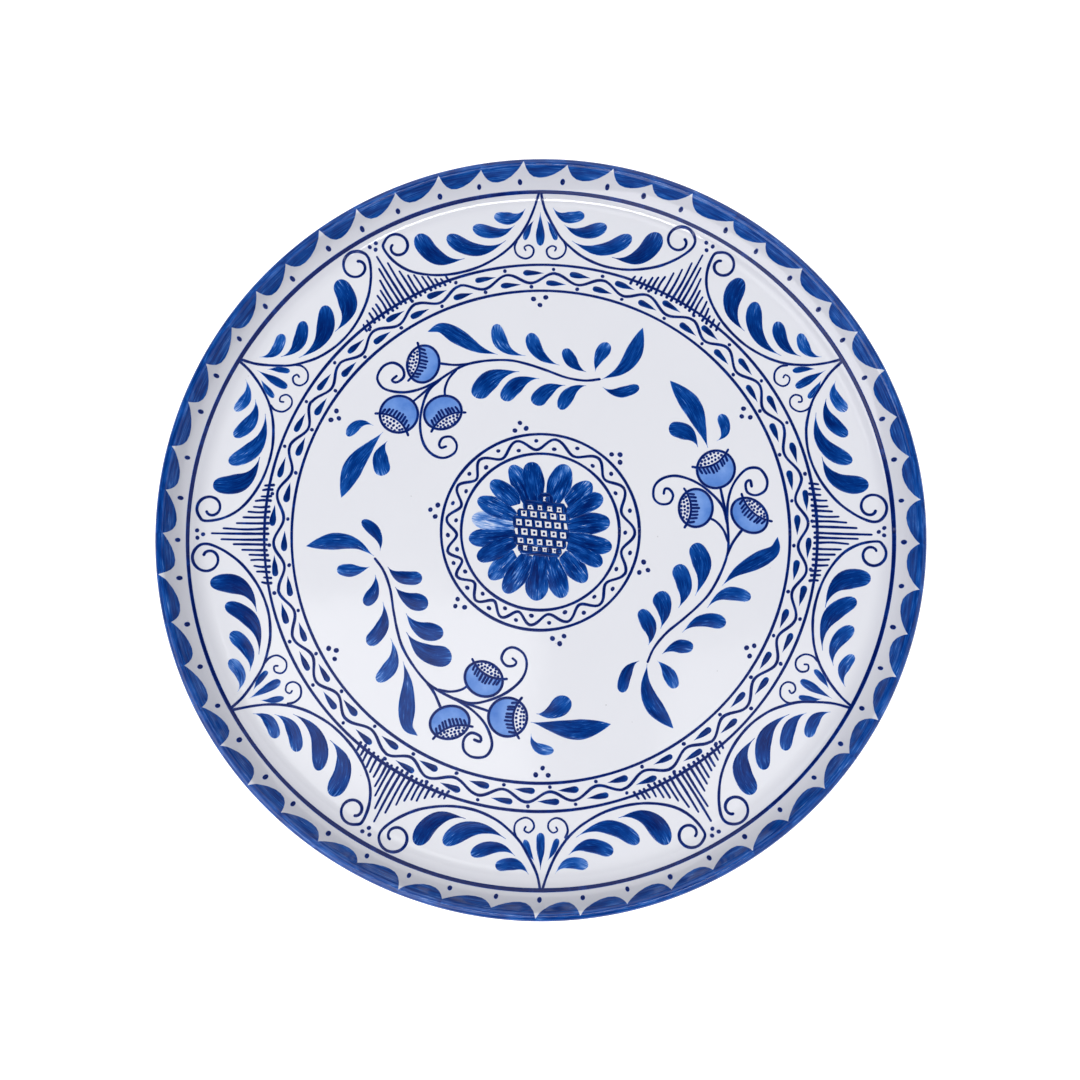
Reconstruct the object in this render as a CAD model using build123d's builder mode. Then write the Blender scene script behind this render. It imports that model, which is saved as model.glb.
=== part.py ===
"""A hand painted round serving plate, 300 mm across: clay body, white glaze and blue brushwork.

The plate stands on its foot ring at z = 0, with its axis on Z. The painted shapes are thin layers
of pigment on the glazed face. One garland points at +Y and the rest of the pattern turns with it.
"""

import os
from math import asin, cos, hypot, radians, sin, sqrt

from build123d import *

# ---- Driving dimensions, millimetres and degrees

RIM_R = 150.0        # outermost edge of the lip
LIP_R = 2.0          # half-round of the lip
WELL_R = 130.5       # where the flat well starts to turn up
WELL_Z = 9.0         # glazed floor of the well
WALL_R = 17.0        # hollow curve from the well into the wall
WALL_TURN = 58.0     # how far that curve turns before the wall runs straight
BACK_R = 22.0        # round of the outside of the wall
BACK_Z = 3.5         # underside of the well above the table
WALL_IN_R = 128.0    # where the clay of the wall joins the clay of the floor
LIP_IN_R = 139.0     # where the clay of the lip joins the clay of the wall
FOOT_OUT_R = 97.0    # foot ring, outer side
FOOT_IN_R = 91.0     # foot ring, inner side
FOOT_ROUND = 1.0     # worn edges of the foot ring
GLAZE = 0.4          # thickness of the white glaze
PAINT = 0.15         # thickness of the painted layer

LINE = 0.95          # liner brush stroke
BORDER_LINE_R = 138.8
BORDER_LINE = 1.25

SCALLOPS = 53        # lobes of the blue rim band, with one dot under each point
SCALLOP_POINT_R = 147.3
SCALLOP_LOBE_R = 143.2
RIM_DOT_R = 142.4

GARLANDS = 6         # ogee arches with scrolls and leaves, one point each 60 degrees
BRANCHES = 3         # berry branches round the medallion

BAND_OUT_R = 109.0   # ring outside the wavy band
BAND_IN_R = 98.2     # ring inside it
BAND_WAVES = 34
BAND_WAVE_R = 103.5
BAND_WAVE_RISE = 1.9
BAND_CREST = 2.0     # angle of one crest of the band's wave
BAND_DROP_RS = (101.0, 106.1)   # teardrops under the crests and over the hollows
BAND_DROP_W = 2.3
BAND_DAB_RS = (99.8, 107.3)     # dabs in the hollows and outside the crests
BAND_DAB = 0.6

COMB_PITCH = 1.15    # degrees between neighbouring comb teeth
COMB_IN_R = 107.3    # where the teeth start, inside the band's outer ring

MEDALLION_OUT_R = 39.1
MEDALLION_IN_R = 31.2
MEDALLION_AT = (-0.2, 0.3)
MEDALLION_WAVES = 16
MEDALLION_WAVE_R = 34.9
MEDALLION_WAVE_RISE = 2.2
MEDALLION_CREST_DAB_R = 33.4
MEDALLION_HOLLOW_DAB_R = 36.4
MEDALLION_DAB = 0.8

FLOWER_AT = (0.2, 1.0)
PETALS = 18
PETAL_W = 7.0
PETAL_ROOT_R = 5.0
PETAL_WIDEST_R = 16.0
PETAL_TIP_R = 27.6
SEED_TILT = -5.7     # how far the rows of the seed head slope down to the right
SEED_PITCH = 3.8     # between neighbouring cells of a row
SEED_EDGE = 1.2      # blue left beside the last cell of a row

# The lip's centre, from the curve, the straight run of the wall and the lip's own round.
LIP_X = RIM_R - LIP_R
WALL_RUN = ((LIP_X - WELL_R) - (WALL_R + LIP_R) * sin(radians(WALL_TURN))) / cos(radians(WALL_TURN))
LIP_Z = (
    WELL_Z + WALL_R - (WALL_R + LIP_R) * cos(radians(WALL_TURN)) + WALL_RUN * sin(radians(WALL_TURN))
)
# The back's round is tangent to the underside and to the lip.
BACK_CZ = BACK_Z + BACK_R
BACK_CX = LIP_X - sqrt((BACK_R - LIP_R) ** 2 - (BACK_CZ - LIP_Z) ** 2)
BACK_ANGLE = 360.0 - Vector(1, 0, 0).get_angle(Vector(LIP_X - BACK_CX, LIP_Z - BACK_CZ, 0))
TOP_Z = LIP_Z + LIP_R

# How full a leaf is at shares of the way from its tail to its head.
LEAF_FULLNESS = ((0.2, 0.42), (0.42, 0.78), (0.66, 1.0), (0.85, 0.86), (0.96, 0.45))

os.makedirs("parts", exist_ok=True)


def export(piece, name):
    """Label a finished piece and write its STEP file."""
    piece.part.label = name
    export_step(piece.part, f"parts/{name}.step")


# ---- The section of the plate


def face_line(lift):
    """The face from the axis over the wall and lip to the lip's outer side, lifted off the glaze."""
    well = Line((0, WELL_Z + lift), (WELL_R, WELL_Z + lift))
    curve = CenterArc((WELL_R, WELL_Z + WALL_R), WALL_R - lift, 270, WALL_TURN)
    lip = CenterArc((LIP_X, LIP_Z), LIP_R + lift, 90 + WALL_TURN, -(90 + WALL_TURN))
    wall = Line(curve @ 1, lip @ 0)
    return [well, curve, wall, lip]


def back_line(lift):
    """The back from the lip's outer side down to the foot ring, lifted off the glaze."""
    lip = CenterArc((LIP_X, LIP_Z), LIP_R + lift, 0, BACK_ANGLE - 360)
    back = CenterArc((BACK_CX, BACK_CZ), BACK_R + lift, BACK_ANGLE, 270 - BACK_ANGLE)
    under = Line(back @ 1, (FOOT_OUT_R, BACK_Z - lift))
    return [lip, back, under]


def clay_floor():
    """The flat disc of fired clay under the glaze of the well."""
    with BuildPart() as clay:
        with BuildSketch(Plane.XY.offset(BACK_Z + GLAZE)):
            Circle(WALL_IN_R)
        extrude(amount=WELL_Z - BACK_Z - 2 * GLAZE)
    return clay


def clay_ring(inner_r, outer_r):
    """The fired clay between two radii, cut from the section of the whole plate."""
    with BuildPart() as clay:
        with BuildSketch(Plane.XZ):
            with BuildLine():
                face_line(-GLAZE)
                back = back_line(-GLAZE)
                Line(back[-1] @ 1, (0, BACK_Z + GLAZE))
                Line((0, BACK_Z + GLAZE), (0, WELL_Z - GLAZE))
            make_face()
            with Locations(((inner_r + outer_r) / 2, TOP_Z / 2)):
                Rectangle(outer_r - inner_r, 2 * TOP_Z, mode=Mode.INTERSECT)
        revolve(axis=Axis.Z)
    return clay


def clay_wall():
    """The clay where the well turns up into the wall."""
    return clay_ring(WALL_IN_R, LIP_IN_R)


def clay_lip():
    """The clay of the upper wall and its round lip."""
    return clay_ring(LIP_IN_R, RIM_R)


def foot_ring():
    """The bare clay ring the plate stands on, its lower edges worn round."""
    with BuildPart() as clay:
        with BuildSketch():
            Circle(FOOT_OUT_R)
            Circle(FOOT_IN_R, mode=Mode.SUBTRACT)
        extrude(amount=BACK_Z + GLAZE)
        fillet(clay.edges().group_by(Axis.Z)[0], FOOT_ROUND)
    return clay


def face_glaze():
    """The white glaze over the face, the lip and the back, as far as the foot ring."""
    with BuildPart() as glaze:
        with BuildSketch(Plane.XZ):
            with BuildLine():
                face_line(0)
                outer = back_line(0)
                face_line(-GLAZE)
                inner = back_line(-GLAZE)
                Line((0, WELL_Z), (0, WELL_Z - GLAZE))
                Line(outer[-1] @ 1, inner[-1] @ 1)
            make_face()
        revolve(axis=Axis.Z)
    return glaze


def foot_recess_glaze():
    """The disc of glaze inside the foot ring."""
    with BuildPart() as glaze:
        with BuildSketch(Plane.XY.offset(BACK_Z)):
            Circle(FOOT_IN_R)
        extrude(amount=GLAZE)
    return glaze


def paint_skin():
    """A skin one paint layer thick over the whole face and lip, from which wall shapes are cut."""
    with BuildPart() as skin:
        with BuildSketch(Plane.XZ):
            with BuildLine():
                outer = face_line(PAINT)
                inner = face_line(0)
                Line(outer[0] @ 0, inner[0] @ 0)
                Line(outer[-1] @ 1, inner[-1] @ 1)
            make_face()
        revolve(axis=Axis.Z)
    return skin.part


SKIN = paint_skin()

# ---- Brush marks


def polar(radius, degrees, centre=(0, 0)):
    """A point at a radius and an angle from a centre."""
    angle = radians(degrees)
    return (centre[0] + radius * cos(angle), centre[1] + radius * sin(angle))


def mirrored(points):
    """The same points on the other side of the garland's middle line."""
    return [(-x, y) for x, y in points]


def outline(points):
    """A flat shape inside the given corner points."""
    with BuildSketch() as shape:
        with BuildLine():
            Polyline(*points, close=True)
        make_face()
    return shape.sketch


def leaf(tail, middle, head, width):
    """One press of a round brush: pointed tail, widest past the middle, rounded head."""
    bend = [2 * m - (t + h) / 2 for t, m, h in zip(tail, middle, head)]
    left, right = [], []
    for share, fullness in LEAF_FULLNESS:
        spine = [
            (1 - share) ** 2 * t + 2 * share * (1 - share) * b + share**2 * h
            for t, b, h in zip(tail, bend, head)
        ]
        slope = [(1 - share) * (b - t) + share * (h - b) for t, b, h in zip(tail, bend, head)]
        reach = width / 2 * fullness / hypot(*slope)
        left.append((spine[0] - slope[1] * reach, spine[1] + slope[0] * reach))
        right.append((spine[0] + slope[1] * reach, spine[1] - slope[0] * reach))
    return outline([tail, *left, head, *reversed(right)])


def stroke(points, width=LINE):
    """A line of even width drawn with a liner brush, in short straight runs."""
    left, right = [], []
    for n, (x, y) in enumerate(points):
        before, after = points[max(n - 1, 0)], points[min(n + 1, len(points) - 1)]
        along = Vector(after[0] - before[0], after[1] - before[1]).normalized()
        left.append((x - along.Y * width / 2, y + along.X * width / 2))
        right.append((x + along.Y * width / 2, y - along.X * width / 2))
    return outline([*left, *reversed(right)])


def wave(centre_r, rise, crests):
    """A closed wavy line about a circle, one crest at each of the given angles."""
    with BuildSketch() as mark:
        for side, mode in ((LINE / 2, Mode.ADD), (-LINE / 2, Mode.SUBTRACT)):
            points = []
            for here, after in zip(crests, crests[1:] + [crests[0] + 360]):
                for share, height in ((0, rise), (0.27, 0), (0.5, -rise), (0.73, 0)):
                    points.append(polar(centre_r + height + side, here + (after - here) * share))
            with BuildLine():
                Spline(*points, periodic=True)
            make_face(mode=mode)
    return mark.sketch


def ring(radius, width=LINE):
    """A banded line, drawn on the turning wheel."""
    with BuildSketch() as mark:
        Circle(radius + width / 2)
        Circle(radius - width / 2, mode=Mode.SUBTRACT)
    return mark.sketch


def dots(places, radius):
    """Round dabs of the brush."""
    with BuildSketch() as mark:
        with Locations(*places):
            Circle(radius)
    return mark.sketch


# ---- Rim


def rim_scallop_band():
    """The blue band round the lip, whose lower edge is a row of leaning lobes."""
    pitch = 360 / SCALLOPS
    with BuildPart() as band:
        with BuildSketch():
            Circle(RIM_R + 1)
            with BuildLine():
                for n in range(SCALLOPS):
                    ThreePointArc(
                        polar(SCALLOP_POINT_R, n * pitch),
                        polar(SCALLOP_LOBE_R, (n + 0.55) * pitch),
                        polar(SCALLOP_POINT_R, (n + 1) * pitch),
                    )
            make_face(mode=Mode.SUBTRACT)
        extrude(amount=TOP_Z + 1)
        add(SKIN, mode=Mode.INTERSECT)
    return band


def wall_dab(radius, bearing, along, across):
    """An oval dab lying on the hollow curve of the wall, at a radius and bearing of the plate."""
    turn = asin((radius - WELL_R) / WALL_R)
    height = WELL_Z + WALL_R * (1 - cos(turn)) + max(along, across) ** 2 / (2 * WALL_R)
    outward = Vector(1, 0, 0).rotate(Axis.Z, bearing)
    surface = Plane(
        origin=outward * radius + Vector(0, 0, height),
        x_dir=outward * cos(turn) + Vector(0, 0, sin(turn)),
        z_dir=outward * -sin(turn) + Vector(0, 0, cos(turn)),
    )
    with BuildPart() as dab:
        with BuildSketch(surface):
            Ellipse(along, across)
        extrude(amount=PAINT)
    return dab.part


def rim_dots():
    """One oval dab under each point of the rim band."""
    with BuildPart() as dabs:
        for n in range(SCALLOPS):
            add(wall_dab(RIM_DOT_R, (n + 0.09) * 360 / SCALLOPS, 1.1, 0.8))
    return dabs


def border_line():
    """The banded line at the foot of the wall."""
    with BuildPart() as line:
        with BuildSketch(Plane.XZ):
            with Locations((BORDER_LINE_R, WELL_Z)):
                Rectangle(BORDER_LINE, 2 * WALL_R)
        revolve(axis=Axis.Z)
        add(SKIN, mode=Mode.INTERSECT)
    return line


# ---- Garlands, drawn with their point towards +Y

# Each scroll as far as it lies on the flat of the well; its ends climb the wall as paint alone.
SCROLL_RIGHT = [
    (3.2, 130.1), (5, 126.5), (8, 120.5), (11.5, 117), (17.5, 112), (26, 108), (36, 106.5),
    (46.5, 108), (55, 111), (59.5, 114.5),
]
SCROLL_LEFT = [
    (-3.4, 130.1), (-5, 126.5), (-8.5, 120.5), (-11.5, 117.5), (-17, 113), (-25, 108.5),
    (-34.5, 105.8), (-43.5, 105.3), (-52, 107), (-58.5, 110.8),
]
SMALL_CURL = [
    (9.5, 118.7), (9.8, 115.5), (8.5, 112.7), (5.5, 111.5), (3, 113), (3, 115.8), (5.5, 116.8),
    (6.5, 115),
]
GARLAND_LEAVES = [
    ((4.9, 132.8), (10, 129.2), (17.5, 130), 5.0),
    ((9.6, 125.5), (17, 122.7), (26.5, 125.2), 5.5),
    ((13, 119.2), (25, 115.4), (36.5, 121.2), 6.5),
    ((29, 112), (40, 112.6), (47.5, 122), 7.5),
]
FAN_PETALS = [
    ((0, 131), (0, 123.5), (0, 117.5), 3.5),
    ((-2.2, 127.5), (-4.2, 124.5), (-5.6, 120.6), 2.8),
    ((2.2, 127.5), (4.2, 124.5), (5.6, 120.6), 2.8),
]


def garland_lines():
    """The two long scrolls that make the arch, and the small curls inside its shoulders."""
    with BuildSketch() as lines:
        add(stroke(SCROLL_RIGHT))
        add(stroke(SCROLL_LEFT))
        add(stroke(SMALL_CURL))
        add(stroke(mirrored(SMALL_CURL)))
        add(ring(BAND_OUT_R), mode=Mode.SUBTRACT)
    return lines.sketch


def garland_node(shapes):
    """A layer of one garland's shapes, kept to the flat of the well, and its copies."""
    with BuildPart() as every:
        with BuildSketch(Plane.XY.offset(WELL_Z)):
            with PolarLocations(0, GARLANDS):
                add(shapes)
            Circle(WELL_R, mode=Mode.INTERSECT)
        extrude(amount=PAINT)
    return every


def garland_scrolls():
    """Every garland's line work."""
    return garland_node(garland_lines())


def garland_leaves():
    """Eight leaves to a garland, each joined to its scroll."""
    with BuildSketch() as leaves:
        for tail, middle, head, width in GARLAND_LEAVES:
            add(leaf(tail, middle, head, width))
            add(leaf(*mirrored([tail, middle, head]), width))
        add(garland_lines(), mode=Mode.SUBTRACT)
    return garland_node(leaves.sketch)


def fan_petals():
    """Three short petals under each arch."""
    with BuildSketch() as petals:
        for tail, middle, head, width in FAN_PETALS:
            add(leaf(tail, middle, head, width))
        add(garland_lines(), mode=Mode.SUBTRACT)
    return garland_node(petals.sketch)


# ---- Combs between the garlands, drawn along +X

TOOTH_LENGTHS = [20.8, 16.4, 12.0, 8.7, 6.8, 5.3, 4.5, 2.9, 2.5, 2.2]


def comb_teeth():
    """Parallel teeth across the band's outer ring, longest in the middle."""
    pitch = BAND_OUT_R * radians(COMB_PITCH)
    with BuildSketch() as teeth:
        with PolarLocations(0, GARLANDS):
            for n in range(1 - len(TOOTH_LENGTHS), len(TOOTH_LENGTHS)):
                y = n * pitch
                start = sqrt(COMB_IN_R**2 - y**2) - 0.4
                end = start + 2.1 + TOOTH_LENGTHS[abs(n)]
                with Locations(((start + end) / 2, y)):
                    SlotOverall(end - start, LINE)
        add(ring(BAND_OUT_R), mode=Mode.SUBTRACT)
    return teeth.sketch


def comb_hatching():
    """The teeth of all the combs, each broken where the ring passes."""
    with BuildPart() as teeth:
        with BuildSketch(Plane.XY.offset(WELL_Z)):
            add(comb_teeth())
        extrude(amount=PAINT)
    return teeth


def comb_dots():
    """Three dabs beyond the longest tooth of each comb."""
    with BuildPart() as dabs:
        for n in range(GARLANDS):
            for radius, aside in ((133.2, 0), (135.4, 0.6), (135.4, -0.6)):
                add(wall_dab(radius, n * 60 + aside, 0.75, 0.75))
    return dabs


# ---- The wavy band


def band_rings():
    """The two rings that bound the wavy band."""
    with BuildPart() as rings:
        with BuildSketch(Plane.XY.offset(WELL_Z)):
            add(ring(BAND_OUT_R))
            add(ring(BAND_IN_R))
        extrude(amount=PAINT)
    return rings


def band_wave():
    """The wavy line between the rings."""
    crests = [BAND_CREST + n * 360 / BAND_WAVES for n in range(BAND_WAVES)]
    with BuildPart() as line:
        with BuildSketch(Plane.XY.offset(WELL_Z)):
            add(wave(BAND_WAVE_R, BAND_WAVE_RISE, crests))
        extrude(amount=PAINT)
    return line


def band_teardrops():
    """A teardrop in each hollow of the wave, on both sides, with its tail turned clockwise."""
    pitch = 360 / BAND_WAVES
    with BuildPart() as drops:
        with BuildSketch(Plane.XY.offset(WELL_Z)):
            for n in range(BAND_WAVES):
                for radius, at in zip(BAND_DROP_RS, (n, n + 0.5)):
                    middle = BAND_CREST + at * pitch
                    add(leaf(polar(radius - 0.3, middle - 2.6), polar(radius, middle),
                             polar(radius + 0.2, middle + 1.9), BAND_DROP_W))
        extrude(amount=PAINT)
    return drops


def band_dots():
    """A dab outside each crest and inside each hollow of the wave."""
    pitch = 360 / BAND_WAVES
    inner = [polar(BAND_DAB_RS[0], BAND_CREST + (n + 0.5) * pitch) for n in range(BAND_WAVES)]
    outer = [polar(BAND_DAB_RS[1], BAND_CREST + n * pitch) for n in range(BAND_WAVES)]
    with BuildPart() as dabs:
        with BuildSketch(Plane.XY.offset(WELL_Z)):
            add(dots(inner + outer, BAND_DAB))
            add(ring(BAND_OUT_R), mode=Mode.SUBTRACT)
            add(comb_teeth(), mode=Mode.SUBTRACT)
        extrude(amount=PAINT)
    return dabs


# ---- The field between band and medallion

BRANCH_STEM = [
    (-57.2, 63.4), (-59.6, 61.2), (-57.5, 60.5), (-54.7, 62.8), (-55.5, 66.5), (-59, 68.5),
    (-63, 67), (-65.3, 62.5), (-63.3, 58.5), (-59, 56.8), (-53.5, 56.5), (-47.5, 58), (-41.5, 61),
    (-35, 65.2), (-29, 68), (-21, 69.4), (-12.5, 69.5), (-5.5, 68), (2, 65.5), (10, 62.5),
    (17.5, 61.5), (22.5, 62),
]
LONG_CURL = [
    (-39.5, 62.3), (-44.8, 57), (-47.3, 50), (-48, 42.5), (-46.5, 35.5), (-43, 31.2),
    (-38.5, 29.8), (-34.3, 31.8), (-33.5, 35.2), (-35.7, 37.9), (-39, 37.5), (-40.2, 35),
    (-38.6, 33.8),
]
BERRY_STALKS = [
    [(-40.6, 68.3), (-34, 67.6), (-28, 68.2)],
    [(-41.5, 61), (-46.5, 56.5), (-50.2, 53)],
    [(-33.5, 66), (-36.7, 62), (-38.2, 58), (-38.2, 54.9)],
]
# centre, radius along the cap, radius across it, direction of the seed cap
BERRIES = [
    ((-47, 68), 7.5, 6.2, 167),
    ((-56.5, 47.5), 7.3, 7.2, 236),
    ((-39, 48.2), 7.3, 6.4, 300),
]
BRANCH_LEAVES = [
    ((-44.5, 83), (-31.5, 79), (-17, 72.3), 6.5),
    ((-6.5, 71.8), (-15, 75.5), (-17.8, 84), 5.5),
    ((7, 67.5), (-1, 72), (-4, 80), 5.5),
    ((18, 65), (12.8, 68.5), (10, 74), 5.0),
    ((21.5, 65), (23, 70.5), (26.8, 76), 5.0),
    ((24.5, 61.7), (36, 70), (41, 82.5), 6.5),
    ((-8.5, 65), (-19, 62.5), (-25, 55), 7.5),
    ((-1, 61.8), (-9, 60), (-14.5, 53.5), 6.5),
    ((9.5, 59.7), (2.5, 57.5), (-2, 52.2), 6.5),
    ((18, 59), (12, 56.5), (8, 50), 5.5),
    ((25, 58.7), (31, 56.6), (38.5, 58.7), 4.5),
    ((-66.5, 42.3), (-72, 43.2), (-76.3, 38.5), 4.0),
    ((-78.5, 15), (-72.7, 29.5), (-63.5, 40), 7.0),
    ((-60.8, 37), (-63.4, 31), (-61.6, 24), 7.0),
]
TRIPLE = [(-2.2, 0.9), (2.2, 0.9), (0, -1.7)]


def berry_outline(length, depth):
    """A berry's outline: full at the stalk, a little flatter at the cap."""
    with BuildSketch() as outline:
        Ellipse(depth, length)
    return outline.sketch


def berry_cap_line(length, depth):
    """The curved line across a berry where its seed cap starts, with a spike at each end."""
    return [
        (depth * 0.62, length * 1.06), (depth * 0.36, length * 0.62), (depth * 0.24, 0),
        (depth * 0.36, -length * 0.62), (depth * 0.62, -length * 1.06),
    ]


def berry_lashes(length, depth):
    """Short strokes from the cap line towards the stalk."""
    with BuildSketch() as lashes:
        for n in range(-4, 5):
            y = n * length * 0.17
            x = depth * (0.26 + 0.016 * n * n)
            with Locations((x - 1.7, y)):
                SlotOverall(3.2, 0.55)
    return lashes.sketch


def berry_lines(length, depth):
    """The outline, cap line and lashes of a berry whose cap faces +X."""
    with BuildSketch() as lines:
        Ellipse(depth, length)
        Ellipse(depth - LINE, length - LINE, mode=Mode.SUBTRACT)
        add(stroke(berry_cap_line(length, depth), 0.85))
        add(berry_lashes(length, depth))
    return lines.sketch


def berry_seeds(length, depth):
    """Dabs in the white cap of a berry, in three bowed rows."""
    places = []
    for row, count in ((0, 6), (1, 5), (2, 4)):
        for n in range(count):
            y = (n - (count - 1) / 2) * length * 0.235
            places.append((depth * (0.44 + 0.17 * row) + 0.012 * y * y * (1 - row), y))
    return dots(places, 0.42)


def on_branch(shape_of):
    """The given shape of every berry, placed on the branch that lies towards +Y."""
    with BuildSketch() as placed:
        for centre, length, depth, facing in BERRIES:
            with Locations(Location((*centre, 0), (0, 0, facing))):
                add(shape_of(length, depth))
    return placed.sketch


def branch_lines():
    """The stem with its two curls and the stalks of the three berries."""
    with BuildSketch() as lines:
        add(stroke(BRANCH_STEM))
        add(stroke(LONG_CURL))
        for stalk in BERRY_STALKS:
            add(stroke(stalk))
    return lines.sketch


def branch_node(shapes):
    """A layer of the branch's shapes on the flat of the well, once for each branch."""
    with BuildPart() as every:
        with BuildSketch(Plane.XY.offset(WELL_Z)):
            with PolarLocations(0, BRANCHES):
                add(shapes)
        extrude(amount=PAINT)
    return every


def branch_stems():
    """Stems, stopped at the berries' outlines."""
    with BuildSketch() as stems:
        add(branch_lines())
        add(on_branch(berry_outline), mode=Mode.SUBTRACT)
        add(on_branch(berry_lines), mode=Mode.SUBTRACT)
    return branch_node(stems.sketch)


def branch_leaves():
    """Fourteen leaves to a branch."""
    with BuildSketch() as leaves:
        for tail, middle, head, width in BRANCH_LEAVES:
            add(leaf(tail, middle, head, width))
        add(branch_lines(), mode=Mode.SUBTRACT)
        add(on_branch(berry_lines), mode=Mode.SUBTRACT)
    return branch_node(leaves.sketch)


def berry_washes():
    """The pale wash in each berry, as far as its cap line."""
    with BuildSketch() as one_side:
        for centre, length, depth, facing in BERRIES:
            with Locations(Location((*centre, 0), (0, 0, facing))):
                with BuildSketch(mode=Mode.PRIVATE) as wash:
                    Ellipse(depth - LINE / 2, length - LINE / 2)
                    with BuildLine():
                        edge = Spline(*berry_cap_line(length, depth))
                        Polyline(edge @ 1, (depth * 2, -length * 1.06), (depth * 2, length * 1.06),
                                 edge @ 0)
                    make_face(mode=Mode.SUBTRACT)
                add(wash.sketch)
        add(on_branch(berry_lines), mode=Mode.SUBTRACT)
    return branch_node(one_side.sketch)


def berry_linework():
    """Outlines, cap lines and lashes of the berries."""
    return branch_node(on_branch(berry_lines))


def berry_seed_dots():
    """The seeds in the berries' caps."""
    return branch_node(on_branch(berry_seeds))


def triple_dots():
    """Groups of three dabs, six along the band and six round the medallion."""
    places = []
    for n in range(GARLANDS):
        facing = n * 60 + 30
        centre = polar(93.9, facing)
        for x, y in TRIPLE:
            places.append(Vector(x, y).rotate(Axis.Z, facing - 90) + Vector(*centre))
        facing = n * 60 + 43
        centre = polar(43, facing)
        for x, y in TRIPLE:
            places.append(Vector(x, -y).rotate(Axis.Z, facing - 90) + Vector(*centre))
    with BuildPart() as dabs:
        with BuildSketch(Plane.XY.offset(WELL_Z)):
            add(dots(places, 0.85))
        extrude(amount=PAINT)
    return dabs


# ---- The medallion


def medallion_crests():
    """Angles of the wave's crests, drawn closer together towards one side by hand."""
    crests = []
    for n in range(MEDALLION_WAVES):
        even = 28 + n * 360 / MEDALLION_WAVES
        crests.append(even + 11.8 * sin(radians(even - 35)))
    return crests


def medallion_node(shapes):
    """A layer of shapes about the medallion's own centre."""
    with BuildPart() as layer:
        with BuildSketch(Plane.XY.offset(WELL_Z)):
            with Locations(MEDALLION_AT):
                add(shapes)
        extrude(amount=PAINT)
    return layer


def medallion_rings():
    """The two rings round the sunflower."""
    with BuildSketch() as rings:
        add(ring(MEDALLION_OUT_R))
        add(ring(MEDALLION_IN_R))
    return medallion_node(rings.sketch)


def medallion_wave():
    """The wavy line between the medallion's rings."""
    return medallion_node(wave(MEDALLION_WAVE_R, MEDALLION_WAVE_RISE, medallion_crests()))


def medallion_dots():
    """A dab under each crest and over each hollow."""
    crests = medallion_crests()
    places = [polar(MEDALLION_CREST_DAB_R, crest) for crest in crests]
    for here, after in zip(crests, crests[1:] + [crests[0] + 360]):
        places.append(polar(MEDALLION_HOLLOW_DAB_R, (here + after) / 2))
    return medallion_node(dots(places, MEDALLION_DAB))


def petal_shapes():
    """Long rounded petals that overlap near the seed head."""
    with BuildSketch() as petals:
        for n in range(PETALS):
            angle = 360 / PETALS * n + 4
            length = PETAL_TIP_R + 0.7 * sin(n * 2.4)
            with PolarLocations(0, 1, start_angle=angle):
                add(leaf((PETAL_ROOT_R, 0), (PETAL_WIDEST_R, 0), (length, 0), PETAL_W))
    return petals.sketch


# The rows of the seed head from the top: height, first cell, number of cells, size of a cell.
SEED_ROWS = [
    (8.7, -4.3, 4, 1.8), (5.9, -6.8, 5, 2.3), (2.2, -8.8, 5, 2.5), (-1.5, -6.6, 5, 2.4),
    (-5.1, -8.2, 5, 2.2), (-8.0, -6.3, 4, 1.7),
]


def seed_ground():
    """The outline of the seed head, one bar for each row of cells."""
    with BuildSketch() as ground:
        for height, first, count, size in SEED_ROWS:
            reach = SEED_PITCH * (count - 1)
            with Locations((first + reach / 2, height)):
                Rectangle(reach + size + 2 * SEED_EDGE, SEED_PITCH)
    return ground.sketch


def seed_cells():
    """The ground with its white cells cut out and a dab in the middle of each."""
    with BuildSketch() as head:
        add(seed_ground())
        for height, first, count, size in SEED_ROWS:
            cells = [(first + SEED_PITCH * n, height) for n in range(count)]
            with Locations(*cells):
                Rectangle(size, size, mode=Mode.SUBTRACT)
                Circle(size / 4)
    return head.sketch


def sunflower_petals():
    """The petals, as far as the seed head."""
    with BuildPart() as petals:
        with BuildSketch(Plane.XY.offset(WELL_Z)):
            with Locations(FLOWER_AT):
                add(petal_shapes())
            with Locations(Location((*FLOWER_AT, 0), (0, 0, SEED_TILT))):
                add(seed_ground(), mode=Mode.SUBTRACT)
        extrude(amount=PAINT)
    return petals


def sunflower_lattice():
    """The seed head: crossed lines with a dab in each of the cells left white."""
    with BuildPart() as head:
        with BuildSketch(Plane.XY.offset(WELL_Z)):
            with Locations(Location((*FLOWER_AT, 0), (0, 0, SEED_TILT))):
                add(seed_cells())
        extrude(amount=PAINT)
    return head


NODES = [
    clay_floor, clay_wall, clay_lip, foot_ring, face_glaze, foot_recess_glaze,
    rim_scallop_band, rim_dots, border_line,
    garland_scrolls, garland_leaves, fan_petals, comb_hatching, comb_dots,
    band_rings, band_wave, band_teardrops, band_dots, triple_dots,
    branch_stems, branch_leaves, berry_washes, berry_linework, berry_seed_dots,
    medallion_rings, medallion_wave, medallion_dots, sunflower_petals, sunflower_lattice,
]
for make in NODES:
    export(make(), make.__name__)
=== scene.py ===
"""The looks of the hand painted plate: glaze, clay and every brush mark, laid on the CAD's face.

Shapes are in millimetres and become metres in build_mesh. Materials, lights and the camera are in
metres. Bearings are degrees, counted from +X towards +Y.
"""

import math

import bpy
import numpy as np

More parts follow.
